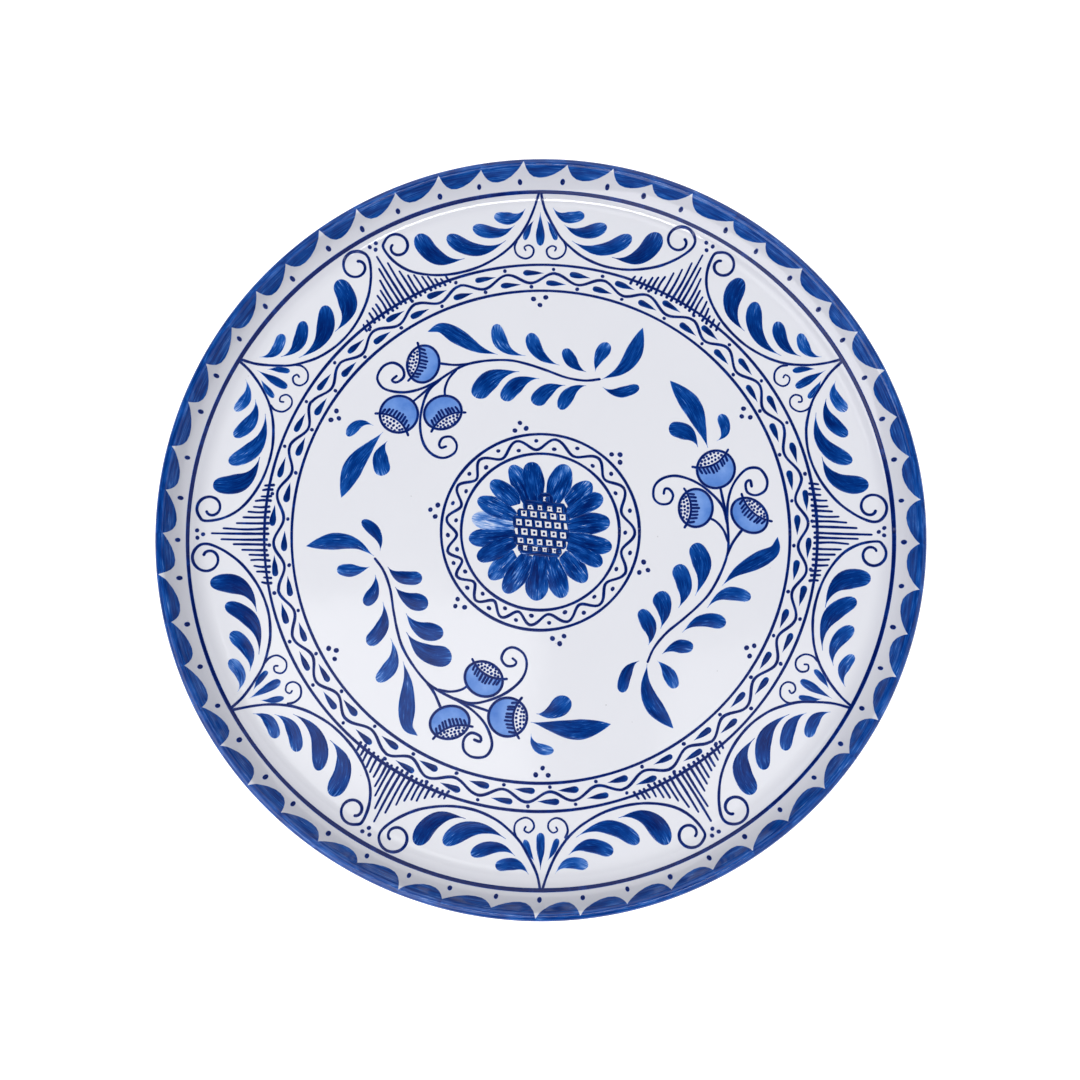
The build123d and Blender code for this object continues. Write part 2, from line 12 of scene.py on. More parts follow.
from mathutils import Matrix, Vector


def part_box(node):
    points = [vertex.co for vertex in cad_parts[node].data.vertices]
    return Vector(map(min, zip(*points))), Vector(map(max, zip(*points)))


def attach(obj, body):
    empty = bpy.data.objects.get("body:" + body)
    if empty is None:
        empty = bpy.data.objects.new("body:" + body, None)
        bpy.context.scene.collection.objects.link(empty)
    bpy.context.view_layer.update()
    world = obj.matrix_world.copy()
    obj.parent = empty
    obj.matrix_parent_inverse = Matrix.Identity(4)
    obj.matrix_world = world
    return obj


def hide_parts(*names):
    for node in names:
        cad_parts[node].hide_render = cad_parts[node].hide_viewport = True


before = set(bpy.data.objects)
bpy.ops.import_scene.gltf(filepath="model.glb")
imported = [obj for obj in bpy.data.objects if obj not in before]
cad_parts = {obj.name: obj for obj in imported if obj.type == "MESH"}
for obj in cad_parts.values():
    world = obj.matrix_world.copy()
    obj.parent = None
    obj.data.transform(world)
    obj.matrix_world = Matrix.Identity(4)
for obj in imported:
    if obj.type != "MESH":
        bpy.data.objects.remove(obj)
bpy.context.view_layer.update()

# ---- Sizes, from the frame where it holds them

M = 0.001  # metres in a millimetre
FACE_LOW, FACE_HIGH = [corner / M for corner in map(np.array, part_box("face_glaze"))]
RIM_R = FACE_HIGH[0]                     # outermost edge of the lip
TOP_Z = FACE_HIGH[2]                     # highest point of the lip
BACK_Z = FACE_LOW[2]                     # underside of the well
WELL_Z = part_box("band_rings")[0][2] / M  # glazed floor of the well
CAD_LINE, CAD_BORDER_LINE = 0.95, 1.24   # widths of the CAD's own lines
BAND_OUT_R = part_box("band_rings")[1][0] / M - CAD_LINE / 2
BORDER_LINE_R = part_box("border_line")[1][0] / M - CAD_BORDER_LINE / 2
FOOT_OUT_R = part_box("foot_ring")[1][0] / M

LIP_R = 2.0                   # half-round of the lip
WELL_R = 130.5                # where the flat well starts to turn up
WALL_R = 17.0                 # hollow curve from the well into the wall
WALL_TURN = math.radians(58)  # how far that curve turns
BACK_R = 22.0                 # round of the outside of the wall
GLAZE = 0.3                   # skin depth, just short of the clay
LIP_X = RIM_R - LIP_R
LIP_Z = TOP_Z - LIP_R
BACK_CZ = BACK_Z + BACK_R
BACK_CX = LIP_X - math.sqrt((BACK_R - LIP_R) ** 2 - (BACK_CZ - LIP_Z) ** 2)
LIP_END = math.atan2(LIP_Z - BACK_CZ, LIP_X - BACK_CX)
CURVE_END_R = WELL_R + WALL_R * math.sin(WALL_TURN)
LIP_START_R = LIP_X - LIP_R * math.sin(WALL_TURN)

LINE = 1.2         # liner brush stroke
BORDER_LINE = 1.5  # the broader stroke round the wall
GARLANDS = 6
BRANCHES = 3
BAND_IN_R = 98.2
BAND_WAVES = 34
MEDALLION_AT = np.array((-0.2, 0.3))
FLOWER_AT = np.array((0.2, 1.0))

# Heights over the glaze of the layers of paint, in the order they were laid down.
WASH_LIFT, LEAF_LIFT, LINE_LIFT, DOT_LIFT = 0.012, 0.03, 0.07, 0.075
SUNK = -0.04  # how far a mark's underside is sunk in the glaze
LINE_TONE = 0.95  # how dark liner work is
NO_END = 0.3  # reach of a closed mark, short of where a stroke's dry end starts

rng = np.random.default_rng(7)


def stray(amount, size=None):
    """How far the hand strays, drawn afresh each time."""
    return rng.normal(0, amount, size)


# ---- The surface of the glazed plate


def face_point(radius, lift):
    """Radius and height of the face's points, lifted along the surface's own normal."""
    radius = np.asarray(radius, float)
    turn = np.arcsin(np.clip((radius - WELL_R) / WALL_R, 0, math.sin(WALL_TURN)))
    z = WELL_Z + WALL_R * (1 - np.cos(turn))
    wall = np.clip(radius - CURVE_END_R, 0, LIP_START_R - CURVE_END_R)
    z = z + wall * math.tan(WALL_TURN)
    lip_side = np.clip((radius - LIP_X) / LIP_R, -1, 1)
    on_lip = radius > LIP_START_R
    lip_turn = math.pi / 2 - np.arccos(lip_side)
    z = np.where(on_lip, LIP_Z + LIP_R * np.cos(lip_turn), z)
    normal_r = np.where(on_lip, np.sin(lip_turn), -np.sin(turn))
    normal_z = np.where(on_lip, np.cos(lip_turn), np.cos(turn))
    return radius + normal_r * lift, z + normal_z * lift


def handmade(points):
    """The small unevenness of a hand-finished plate, added to every point of glaze and paint."""
    x, y, z = points.T
    angle = np.arctan2(y, x)
    out = np.hypot(x, y) / RIM_R
    grow = 1 + 0.0007 * np.sin(2 * angle + 0.7) * out + 0.0004 * np.sin(5 * angle + 2.1) * out**4
    rise = 0.10 * np.sin(2 * angle - 0.4) * out**3 + 0.05 * np.sin(7 * angle) * out**6
    rise = rise + 0.03 * np.sin(x * 0.11 + 1) * np.sin(y * 0.13 + 2)
    return np.stack([x * grow, y * grow, z + rise], -1)


def on_face(xy, lift):
    """Points of the plan laid on the face at a lift over the glaze."""
    xy = np.asarray(xy, float)
    radius = np.hypot(xy[..., 0], xy[..., 1])
    new_radius, z = face_point(radius, lift)
    scale = new_radius / np.maximum(radius, 1e-6)
    return np.stack([xy[..., 0] * scale, xy[..., 1] * scale, z], -1)


def lip_line(lift, steps=26):
    """The lip's section from the wall round to the outside, as radius and height."""
    turns = np.linspace(math.pi / 2 + WALL_TURN, LIP_END, steps)
    reach = LIP_R + lift
    return np.stack([LIP_X + reach * np.cos(turns), LIP_Z + reach * np.sin(turns)], -1)


def glaze_section(lift):
    """The whole glazed section from the axis over the lip to the foot ring."""
    well = np.concatenate([np.linspace(0, 120, 25), np.linspace(121, WELL_R, 12)])
    curve = np.linspace(WELL_R, CURVE_END_R, 30)[1:]
    face = np.stack(face_point(np.concatenate([well, curve]), lift), -1)
    face[0, 0] = 0
    back_turns = np.linspace(LIP_END, -math.pi / 2, 24)[1:]
    reach = BACK_R + lift
    back = np.stack([BACK_CX + reach * np.cos(back_turns), BACK_CZ + reach * np.sin(back_turns)], -1)
    under = np.linspace(BACK_CX, FOOT_OUT_R, 8)[1:]
    under = np.stack([under, np.full(len(under), BACK_Z - lift)], -1)
    return np.concatenate([face, lip_line(lift), back, under])


# ---- Meshes


def run_along(points):
    """How far along a line each of its points lies."""
    return np.concatenate([[0], np.cumsum(np.linalg.norm(np.diff(points, axis=0), axis=1))])


def ring_quads(low, high):
    """Quads that join closed rows of point numbers to the rows after them."""
    return np.stack([low, high, np.roll(high, -1, -1), np.roll(low, -1, -1)], -1).reshape(-1, 4)


def build_mesh(name, points, faces, layers=None, uneven=True, smooth=None):
    """An object from points in millimetres, with named values per point for its material.

    smooth says which faces are shaded smooth; all are without it.
    """
    points = np.asarray(points, float)
    if uneven:
        points = handmade(points)
    mesh = bpy.data.meshes.new(name)
    mesh.from_pydata((points * M).tolist(), [], faces)
    mesh.polygons.foreach_set("use_smooth", smooth or [True] * len(mesh.polygons))
    for layer, values in (layers or {}).items():
        mesh.attributes.new(layer, "FLOAT", "POINT").data.foreach_set("value", values)
    mesh.update()
    piece = bpy.data.objects.new(name, mesh)
    bpy.context.scene.collection.objects.link(piece)
    return piece


# Values that every point of a mark stores for its material
LAYERS = ("along", "across", "seed", "tone", "reach", "edge")


class Marks:
    """Brush marks gathered into one piece, each a closed thin body with a low domed top."""

    def __init__(self):
        self.points, self.faces, self.smooth, self.size = [], [], [], 0
        self.layers = {layer: [] for layer in LAYERS}

    def grid(self, plan, top, along, across, tone, reach, edge=1.0):
        """Adds a mark from a grid of plan points, with its top's lift at each of them."""
        rows, columns = plan.shape[:2]
        self.points += [on_face(plan, lift).reshape(-1, 3) for lift in (top, SUNK)]
        seed = rng.uniform(0, 1)
        for layer, value in zip(LAYERS, (along, across, seed, tone, reach, edge)):
            flat = np.broadcast_to(value, (rows, columns)).reshape(-1)
            self.layers[layer] += [flat, flat]
        index = self.size + np.arange(rows * columns).reshape(rows, columns)
        self.size += 2 * rows * columns
        a, b, c, d = index[:-1, :-1], index[:-1, 1:], index[1:, 1:], index[1:, :-1]
        quads = np.stack([a, d, c, b], -1).reshape(-1, 4)
        self.faces += quads.tolist()
        self.faces += (quads[:, ::-1] + rows * columns).tolist()
        border = np.concatenate([index[0, :], index[1:, -1], index[-1, -2::-1], index[-2:0:-1, 0]])
        around = np.roll(border, -1)
        offset = rows * columns
        self.faces += np.stack([border, around, around + offset, border + offset], -1).tolist()
        self.smooth += [True] * (2 * len(quads)) + [False] * len(border)

    def stroke(self, points, widths, lift=LINE_LIFT, tone=LINE_TONE, dome=0.035, columns=5, reach=None):
        """A mark along a line of plan points, with its full width at each of them."""
        points = np.asarray(points, float)
        widths = np.broadcast_to(np.asarray(widths, float), len(points))
        slope = np.gradient(points, axis=0)
        slope /= np.maximum(np.linalg.norm(slope, axis=1, keepdims=True), 1e-9)
        side = np.stack([-slope[:, 1], slope[:, 0]], -1)
        share = np.linspace(-1, 1, columns)
        plan = points[:, None] + side[:, None] * (share[None, :, None] * widths[:, None, None] / 2)
        along = run_along(points)
        fullness = widths / widths.max()
        top = lift + dome * (1 - share[None] ** 2) * fullness[:, None]
        if reach is None:
            reach = along / along[-1]
        half = widths[:, None] / 2
        edge = half * (1 - np.abs(share[None]))
        reach = np.broadcast_to(reach, len(points))[:, None]
        self.grid(plan, top, along[:, None], share[None] * half, tone, reach, edge)

    def dot(self, centre, radius, lift=DOT_LIFT, stretch=1.0, facing=0.0):
        """A dab of the brush, not quite round."""
        turns = np.linspace(0, 2 * math.pi, 15)
        rough = 1 + 0.07 * np.sin(turns + rng.uniform(0, 6)) + 0.05 * np.sin(2 * turns + rng.uniform(0, 6))
        rough[-1] = rough[0]
        rings = np.array([0.02, 0.55, 0.85, 1.0])
        plan = rings[:, None, None] * radius * rough[None, :, None] * np.stack(
            [np.cos(turns) * stretch, np.sin(turns)], -1
        )
        plan = np.asarray(centre) + turned(plan, facing)
        top = lift + 0.03 * (1 - rings**2)[:, None]
        edge = radius * (1 - rings[:, None])
        self.grid(plan, top, rings[:, None] * radius, turns[None], LINE_TONE, 0.4, edge)

    def piece(self, name, material, *nodes, slot="navy_line"):
        """The finished piece, standing for its CAD nodes and riding on the plate."""
        layers = {layer: np.concatenate(values) for layer, values in self.layers.items()}
        made = build_mesh(name, np.concatenate(self.points), self.faces, layers, smooth=self.smooth)
        return dress(made, material, *nodes, slot=slot)


def dress(piece, material, *nodes, slot):
    """Gives a piece its material and its body, and hides the CAD nodes it stands for."""
    piece.data.materials.append(material)
    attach(piece, "root")
    if nodes:
        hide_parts(*nodes)
    return piece


# ---- Lines and outlines in plan


def polar(radius, degrees, centre=(0, 0)):
    """Points at a radius and an angle from a centre."""
    turn = np.radians(degrees)
    return np.stack([centre[0] + radius * np.cos(turn), centre[1] + radius * np.sin(turn)], -1)


def with_next(bearings, turn=360):
    """Each bearing round the plate with the next; the last goes with the first, a turn further on."""
    return zip(bearings, np.append(bearings[1:], bearings[0] + turn))


def turned(points, degrees):
    """Points turned about the axis."""
    turn = math.radians(degrees)
    points = np.asarray(points, float)
    x, y = points[..., 0], points[..., 1]
    return np.stack([x * math.cos(turn) - y * math.sin(turn), x * math.sin(turn) + y * math.cos(turn)], -1)


def mirrored(points):
    """Points on the other side of the garland's middle line."""
    return np.asarray(points, float) * (-1, 1)


def smooth_line(points, spacing=0.7):
    """A smooth line through given points, at an even spacing."""
    points = np.asarray(points, float)
    ends = np.concatenate([[2 * points[0] - points[1]], points, [2 * points[-1] - points[-2]]])
    line = []
    for a, b, c, d in zip(ends[:-3], ends[1:-2], ends[2:-1], ends[3:]):
        share = np.linspace(0, 1, 16, endpoint=False)[:, None]
        line.append(
            b + share * (c - a) / 2 + share**2 * (a - 2.5 * b + 2 * c - d / 2)
            + share**3 * (-a / 2 + 1.5 * b - 1.5 * c + d / 2)
        )
    line = np.concatenate([*line, points[-1:]])
    along = run_along(line)
    even = np.linspace(0, along[-1], max(int(along[-1] / spacing), 6))
    return np.stack([np.interp(even, along, line[:, k]) for k in (0, 1)], -1)


def curl(centre, start, turn, from_r, to_r, count=14):
    """Points of a scroll's end that winds inwards about its centre, faster towards its eye."""
    share = np.linspace(0, 1, count)
    radius = from_r - (from_r - to_r) * share**1.6
    return polar(radius, start + turn * share, centre)


def line_widths(points, width=LINE, start=1.0, end=1.0):
    """Widths of a liner stroke: rounded at its ends, a little uneven between them."""
    along = run_along(points)
    share = along / along[-1]
    uneven = 1 + 0.07 * np.sin(along * 0.23 + rng.uniform(0, 6)) + 0.04 * np.sin(along * 0.9)
    ends = np.minimum(along, along[-1] - along) / (width / 2)
    rounding = np.sqrt(np.clip(1 - (1 - np.clip(ends, 0, 1)) ** 2, 0.03, 1))
    return width * uneven * rounding * (start + (end - start) * share)


def jitter(points, amount):
    """Given points moved a little together and apart, as each repeat is drawn afresh."""
    points = np.asarray(points, float)
    shift = stray(amount, 2)
    return points + shift + stray(amount * 0.35, points.shape)


def draw_line(marks, points, width=LINE, lift=LINE_LIFT, start=1.0, end=1.0):
    """A liner stroke through given points."""
    line = smooth_line(points, 0.6)
    ends = np.array([0.1, 0.3]) * width / np.linalg.norm(line[1] - line[0])
    first = line[0] + (line[1] - line[0]) * ends[:, None]
    last = line[-1] + (line[-2] - line[-1]) * ends[::-1, None]
    line = np.concatenate([line[:1], first, line[1:-1], last, line[-1:]])
    marks.stroke(line, line_widths(line, width, start, end), lift)


LEAF_SHARES = np.concatenate([np.linspace(0, 0.85, 15), [0.895, 0.93, 0.957, 0.976, 0.989, 0.997, 1]])


def leaf_fullness(share, fattest, sharp, tail_start=0.0, blunt=3.0, round_head=0.46):
    """How full a brush leaf is along its length: thin tail, rounded or blunt head."""
    tail = np.sin(math.pi / 2 * np.clip(share / fattest, 0, 1)) ** sharp
    tail = tail_start + (1 - tail_start) * tail
    past = np.clip((share - fattest) / (1 - fattest), 0, 1)
    head = np.clip(1 - past**blunt, 0.001, 1) ** round_head
    return np.maximum(np.where(share < fattest, tail, head), 0.03)


def draw_leaf(marks, tail, middle, head, width, lift=LEAF_LIFT, tone=0.78, columns=13, fattest=0.72,
              sharp=1.5, dome=0.045, **shape):
    """One press of a round brush from its tail through its middle to its head."""
    tail, middle, head = (np.asarray(p, float) for p in (tail, middle, head))
    bend = 2 * middle - (tail + head) / 2
    share = LEAF_SHARES[:, None]
    spine = (1 - share) ** 2 * tail + 2 * share * (1 - share) * bend + share**2 * head
    widths = width * leaf_fullness(LEAF_SHARES, fattest, sharp, **shape)
    wave = rng.uniform(0, 6)
    widths = widths * (1 + 0.045 * np.sin(LEAF_SHARES * 11 + wave))
    marks.stroke(spine, widths, lift + rng.uniform(0, 0.01), tone, dome, columns, LEAF_SHARES)


def draw_blade(marks, spine, width, tone):
    """A long stroke that swells and closes to a point."""
    line = smooth_line(spine, 0.9)
    share = np.linspace(0, 1, len(line))
    widths = width * leaf_fullness(share, 0.62, 1.35, blunt=1.5, round_head=0.85)
    marks.stroke(line, widths, LEAF_LIFT + 0.006, tone, 0.05, 13, share * 0.86)


# ---- Materials


def colour(red, green, blue):
    """A colour given as it is seen, 0 to 255, in the linear values that shaders use."""
    seen = np.array([red, green, blue]) / 255
    linear = np.where(seen <= 0.04045, seen / 12.92, ((seen + 0.055) / 1.055) ** 2.4)
    return (*linear, 1.0)


class Shader:
    """A small helper that writes one node material."""

    def __init__(self, name):
        self.material = bpy.data.materials.new(name)
        self.material.use_nodes = True
        self.tree = self.material.node_tree
        self.tree.nodes.clear()
        self.output = self.tree.nodes.new("ShaderNodeOutputMaterial")
        self.surface = self.tree.nodes.new("ShaderNodeBsdfPrincipled")
        self.tree.links.new(self.surface.outputs[0], self.output.inputs[0])

    def node(self, kind, inputs=None, **settings):
        """A node with its settings, whose inputs are values or other nodes' outputs."""
        node = self.tree.nodes.new("ShaderNode" + kind)
        for key, value in settings.items():
            setattr(node, key, value)
        for key, value in (inputs or {}).items():
            self.put(node.inputs[key], value)
        return node

    def put(self, socket, value):
        """Sets an input, or links it."""
        if isinstance(value, bpy.types.NodeSocket):
            self.tree.links.new(value, socket)
        else:
            socket.default_value = value

    def value(self, name):
        """One of the values stored with the mesh's points."""
        return self.node("Attribute", attribute_name=name).outputs["Fac"]

    def math(self, operation, a, b=0.0, clamp=False):
        """Arithmetic on two values."""
        return self.node("Math", {0: a, 1: b}, operation=operation, use_clamp=clamp).outputs[0]

    def times(self, a, b, clamp=False):
        """The product of two values."""
        return self.math("MULTIPLY", a, b, clamp)

    def noise(self, vector, scale, detail=3.0, roughness=0.5):
        """Noise from 0 to 1."""
        node = self.node("TexNoise", {"Vector": vector, "Scale": scale, "Detail": detail,
                                      "Roughness": roughness})
        return node.outputs["Fac"]

    def combine(self, x, y, z):
        """Three values as a vector."""
        return self.node("CombineXYZ", {0: x, 1: y, 2: z}).outputs[0]

    def ramp(self, value, stops):
        """Colours along a value."""
        node = self.node("ValToRGB", {0: value})
        elements = node.color_ramp.elements
        while len(elements) < len(stops):
            elements.new(0.5)
        for element, (place, shade) in zip(elements, stops):
            element.position = place
            element.color = shade
        return node.outputs[0]

    def mix(self, share, a, b):
        """A blend of two colours."""
        return self.node("Mix", {0: share, 6: a, 7: b}, data_type="RGBA").outputs[2]

    def place(self):
        """The point's own place on the plate, in metres."""
        return self.node("TexCoord").outputs["Object"]

    def bump(self, height, strength, distance):
        """A bumped normal from a height."""
        node = self.node("Bump", {"Height": height, "Strength": strength, "Distance": distance})
        return node.outputs[0]

    def finish(self, **inputs):
        """Sets the surface's inputs by name."""
        for key, value in inputs.items():
            self.put(self.surface.inputs[key.replace("_", " ")], value)
        return self.material


GLOSS = {"Roughness": 0.08, "IOR": 1.5}
PAINTED = {"Roughness": 0.1, "IOR": 1.5, "Specular_IOR_Level": 0.25}
WHITE = colour(229, 230, 236)
SHADE = colour(221, 222, 230)
# painted shade for the wall, which stands darker than the well under the light
PAINTED_WALL_SHADE = colour(210, 211, 220)


def glazed(shader, base, look):
    """A finished glazed surface in a base colour, with faint orange-peel and slow waves."""
    place = shader.place()
    fine = shader.noise(place, 260, 2)
    slow = shader.noise(place, 22, 2)
    height = shader.math("ADD", shader.times(fine, 0.12), slow)
    return shader.finish(Base_Color=base, Normal=shader.bump(height, 0.25, 0.0006), **look)


def white_glaze():
    """Glossy white glaze: slightly cloudy, with painted shade greyer up the wall, and a few iron specks.
    """
    shader = Shader("white_glaze")
    place = shader.place()
    cloud = shader.noise(place, 14, 4, 0.6)
    base = shader.mix(shader.times(cloud, 0.8), WHITE, SHADE)
    flat = shader.node("VectorMath", {0: place, 1: (1, 1, 0)}, operation="MULTIPLY").outputs[0]
    radius = shader.node("VectorMath", {0: flat}, operation="LENGTH").outputs["Value"]
    # Painted shade: the glaze colour is mixed towards grey up the wall, from 131 to 138.5 mm out.
    wall = shader.node("MapRange", {"Value": radius, "From Min": 0.131, "From Max": 0.1385},
                       interpolation_type="SMOOTHSTEP").outputs[0]
    base = shader.mix(wall, base, PAINTED_WALL_SHADE)
    specks = shader.node("TexVoronoi", {"Vector": place, "Scale": 190}, feature="F1")
    small = shader.math("LESS_THAN", specks.outputs["Distance"], 0.055)
    rare = shader.math("GREATER_THAN", shader.noise(place, 37, 1), 0.64)
    speck = shader.times(shader.times(small, rare), 0.35)
    base = shader.mix(speck, base, colour(120, 118, 125))
    return glazed(shader, base, GLOSS)


COBALT_STOPS = (
    (0.00, colour(206, 214, 236)),
    (0.16, colour(150, 178, 226)),
    (0.34, colour(84, 130, 202)),
    (0.52, colour(22, 82, 166)),
    (0.72, colour(1, 53, 130)),
    (1.00, colour(0, 28, 94)),
)


def bled_edge(shader, loss):
    """How much pigment is missing along the rim of a mark, where it bled into the glaze."""
    near = shader.math("SUBTRACT", 1.0, shader.times(shader.value("edge"), 4.0), True)
    return shader.times(near, loss)


def brush_paint(name, streaks, pools, dry_end, scratches, gloss=0.25):
    """Cobalt laid on with a loaded brush: hair streaks, pools, fine scratches and a drier end."""
    shader = Shader(name)
    along, across, seed, tone, reach = (
        shader.value(v) for v in ("along", "across", "seed", "tone", "reach")
    )
    offset = shader.times(seed, 91)

    def drawn_out(across_rate, along_rate, third, detail, roughness):
        """Noise drawn out along the stroke."""
        sideways = shader.math("ADD", shader.times(across, across_rate), offset)
        place = shader.combine(sideways, shader.times(along, along_rate), third)
        return shader.noise(place, 1.0, detail, roughness)

    hairs = drawn_out(1.9, 0.13, offset, 4, 0.62)
    pool = drawn_out(0.33, 0.16, offset, 2, 0.5)
    hair_edge = shader.times(shader.math("SUBTRACT", hairs, 0.44, True), 5.5, True)
    hairs = shader.times(shader.math("SUBTRACT", hairs, 0.5), streaks)
    pool = shader.times(shader.math("SUBTRACT", pool, 0.5), pools)
    density = shader.math("ADD", shader.math("ADD", tone, hairs), pool)
    end = shader.times(shader.math("SUBTRACT", reach, 0.66, True), 3.0)
    thin = shader.times(shader.times(end, hair_edge), dry_end)
    density = shader.math("SUBTRACT", density, thin, True)
    scratch = shader.math("SUBTRACT", drawn_out(3.4, 0.2, seed, 3, 0.6), 0.58, True)
    scratch = shader.times(scratch, scratches)
    density = shader.math("SUBTRACT", density, scratch, True)
    density = shader.math("SUBTRACT", density, bled_edge(shader, 0.5), True)
    base = shader.ramp(density, COBALT_STOPS)
    return glazed(shader, base, {**PAINTED, "Specular_IOR_Level": gloss})


def line_paint():
    """Dark liner work, a little paler where the brush ran thin."""
    shader = Shader("navy_line")
    along, seed = shader.value("along"), shader.value("seed")
    thin = shader.noise(shader.combine(along, shader.times(seed, 57), 0.0), 0.22, 3, 0.6)
    base = shader.ramp(
        thin, ((0.3, colour(0, 17, 82)), (0.55, colour(1, 26, 96)), (0.78, colour(16, 58, 140))),
    )
    base = shader.mix(bled_edge(shader, 0.75), base, colour(58, 102, 190))
    return glazed(shader, base, PAINTED)


def wash_paint():
    """Pale watered cobalt inside the berries, deeper where it settled."""
    shader = Shader("pale_blue_wash")
    place = shader.place()
    settle = shader.noise(place, 150, 3, 0.6)
    reach = shader.value("reach")
    deep = shader.math("ADD", shader.times(settle, 0.75), shader.times(reach, 0.3))
    base = shader.ramp(
        deep, ((0.22, colour(138, 172, 232)), (0.5, colour(108, 148, 218)), (0.8, colour(74, 120, 200))),
    )
    return glazed(shader, base, PAINTED)


def bare_clay():
    """Unglazed fired clay: warm, matte and sandy, darker where the foot has worn."""
    shader = Shader("bare_clay")
    place = shader.place()
    grit = shader.noise(place, 900, 4, 0.7)
    patch = shader.noise(place, 60, 3)
    base = shader.ramp(
        grit, ((0.3, colour(176, 148, 118)), (0.55, colour(214, 190, 160)), (0.75, colour(232, 214, 188))),
    )
    base = shader.mix(shader.times(patch, 0.5), base, colour(190, 160, 128))
    return shader.finish(Base_Color=base, Roughness=0.85, Normal=shader.bump(grit, 0.5, 0.0004))


# ---- The plate itself


def turn_section(section, count=720):
    """Points and faces of a section turned about the axis; its first point is the pole."""
    turns = np.linspace(0, 2 * math.pi, count, endpoint=False)
    ring = section[1:]
    x = ring[:, None, 0] * np.cos(turns)
    y = ring[:, None, 0] * np.sin(turns)
    z = np.broadcast_to(ring[:, None, 1], x.shape)
    points = np.concatenate([[[0, 0, section[0, 1]]], np.stack([x, y, z], -1).reshape(-1, 3)])
    index = 1 + np.arange(len(ring) * count).reshape(len(ring), count)
    fan = np.stack([np.zeros(count, int), index[0], np.roll(index[0], -1)], -1)
    return points, [*ring_quads(index[:-1], index[1:]).tolist(), *fan.tolist()], index


def make_glaze(material):
    """The glaze over face, lip and back: a closed skin whose inside lies just off the clay."""
    outer, outer_faces, outer_index = turn_section(glaze_section(0))
    inner, inner_faces, inner_index = turn_section(glaze_section(-GLAZE))
    shift = len(outer)
    faces = outer_faces + [[i + shift for i in reversed(face)] for face in inner_faces]
    edge, edge_in = outer_index[-1], inner_index[-1] + shift
    faces += ring_quads(edge, edge_in).tolist()
    skin = build_mesh("glaze_skin", np.concatenate([outer, inner]), faces)
    return dress(skin, material, "face_glaze", slot="white_glaze")


def make_clay(clay, glaze):
    """The clay shows only as the foot ring; the disc inside the ring is glazed."""
    for node, material, slot in (
        ("clay_floor", clay, "fired_clay"), ("clay_wall", clay, "fired_clay"),
        ("clay_lip", clay, "fired_clay"), ("foot_ring", clay, "fired_clay"),
        ("foot_recess_glaze", glaze, "white_glaze"),
    ):
        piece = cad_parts[node]
        piece.data.materials.clear()
        piece.data.materials.append(material)


# ---- Rim

SCALLOPS = 53
SCALLOP_BEARING = 4.3                           # bearing of the first point
SCALLOP_POINT_R, SCALLOP_LOBE_R = 147.0, 143.1  # where the band ends at its points and lobes
RIM_DAB_R = 142.3
SCALLOP_POINT_LIMITS = 145.8, 147.9
RIM_LIFT, RIM_TONE = 0.09, 0.66
RIM_END = 0.93                                  # share of the lip's section that is painted
# A lobe's edge from point to point: share of the way, share of the height of the points
LOBE = np.array([(0, 1), (0.05, 0.62), (0.12, 0.3), (0.22, 0.08), (0.36, 0), (0.52, 0.07),
                 (0.7, 0.3), (0.86, 0.63), (1, 1)])
LOBE_COLUMNS, RIM_ROWS = 32, 30


def scallop_cusps():
    """Bearings of the points of the rim band, unevenly spaced by hand."""
    even = SCALLOP_BEARING - np.arange(SCALLOPS) * 360 / SCALLOPS
    return even + stray(0.28, SCALLOPS)


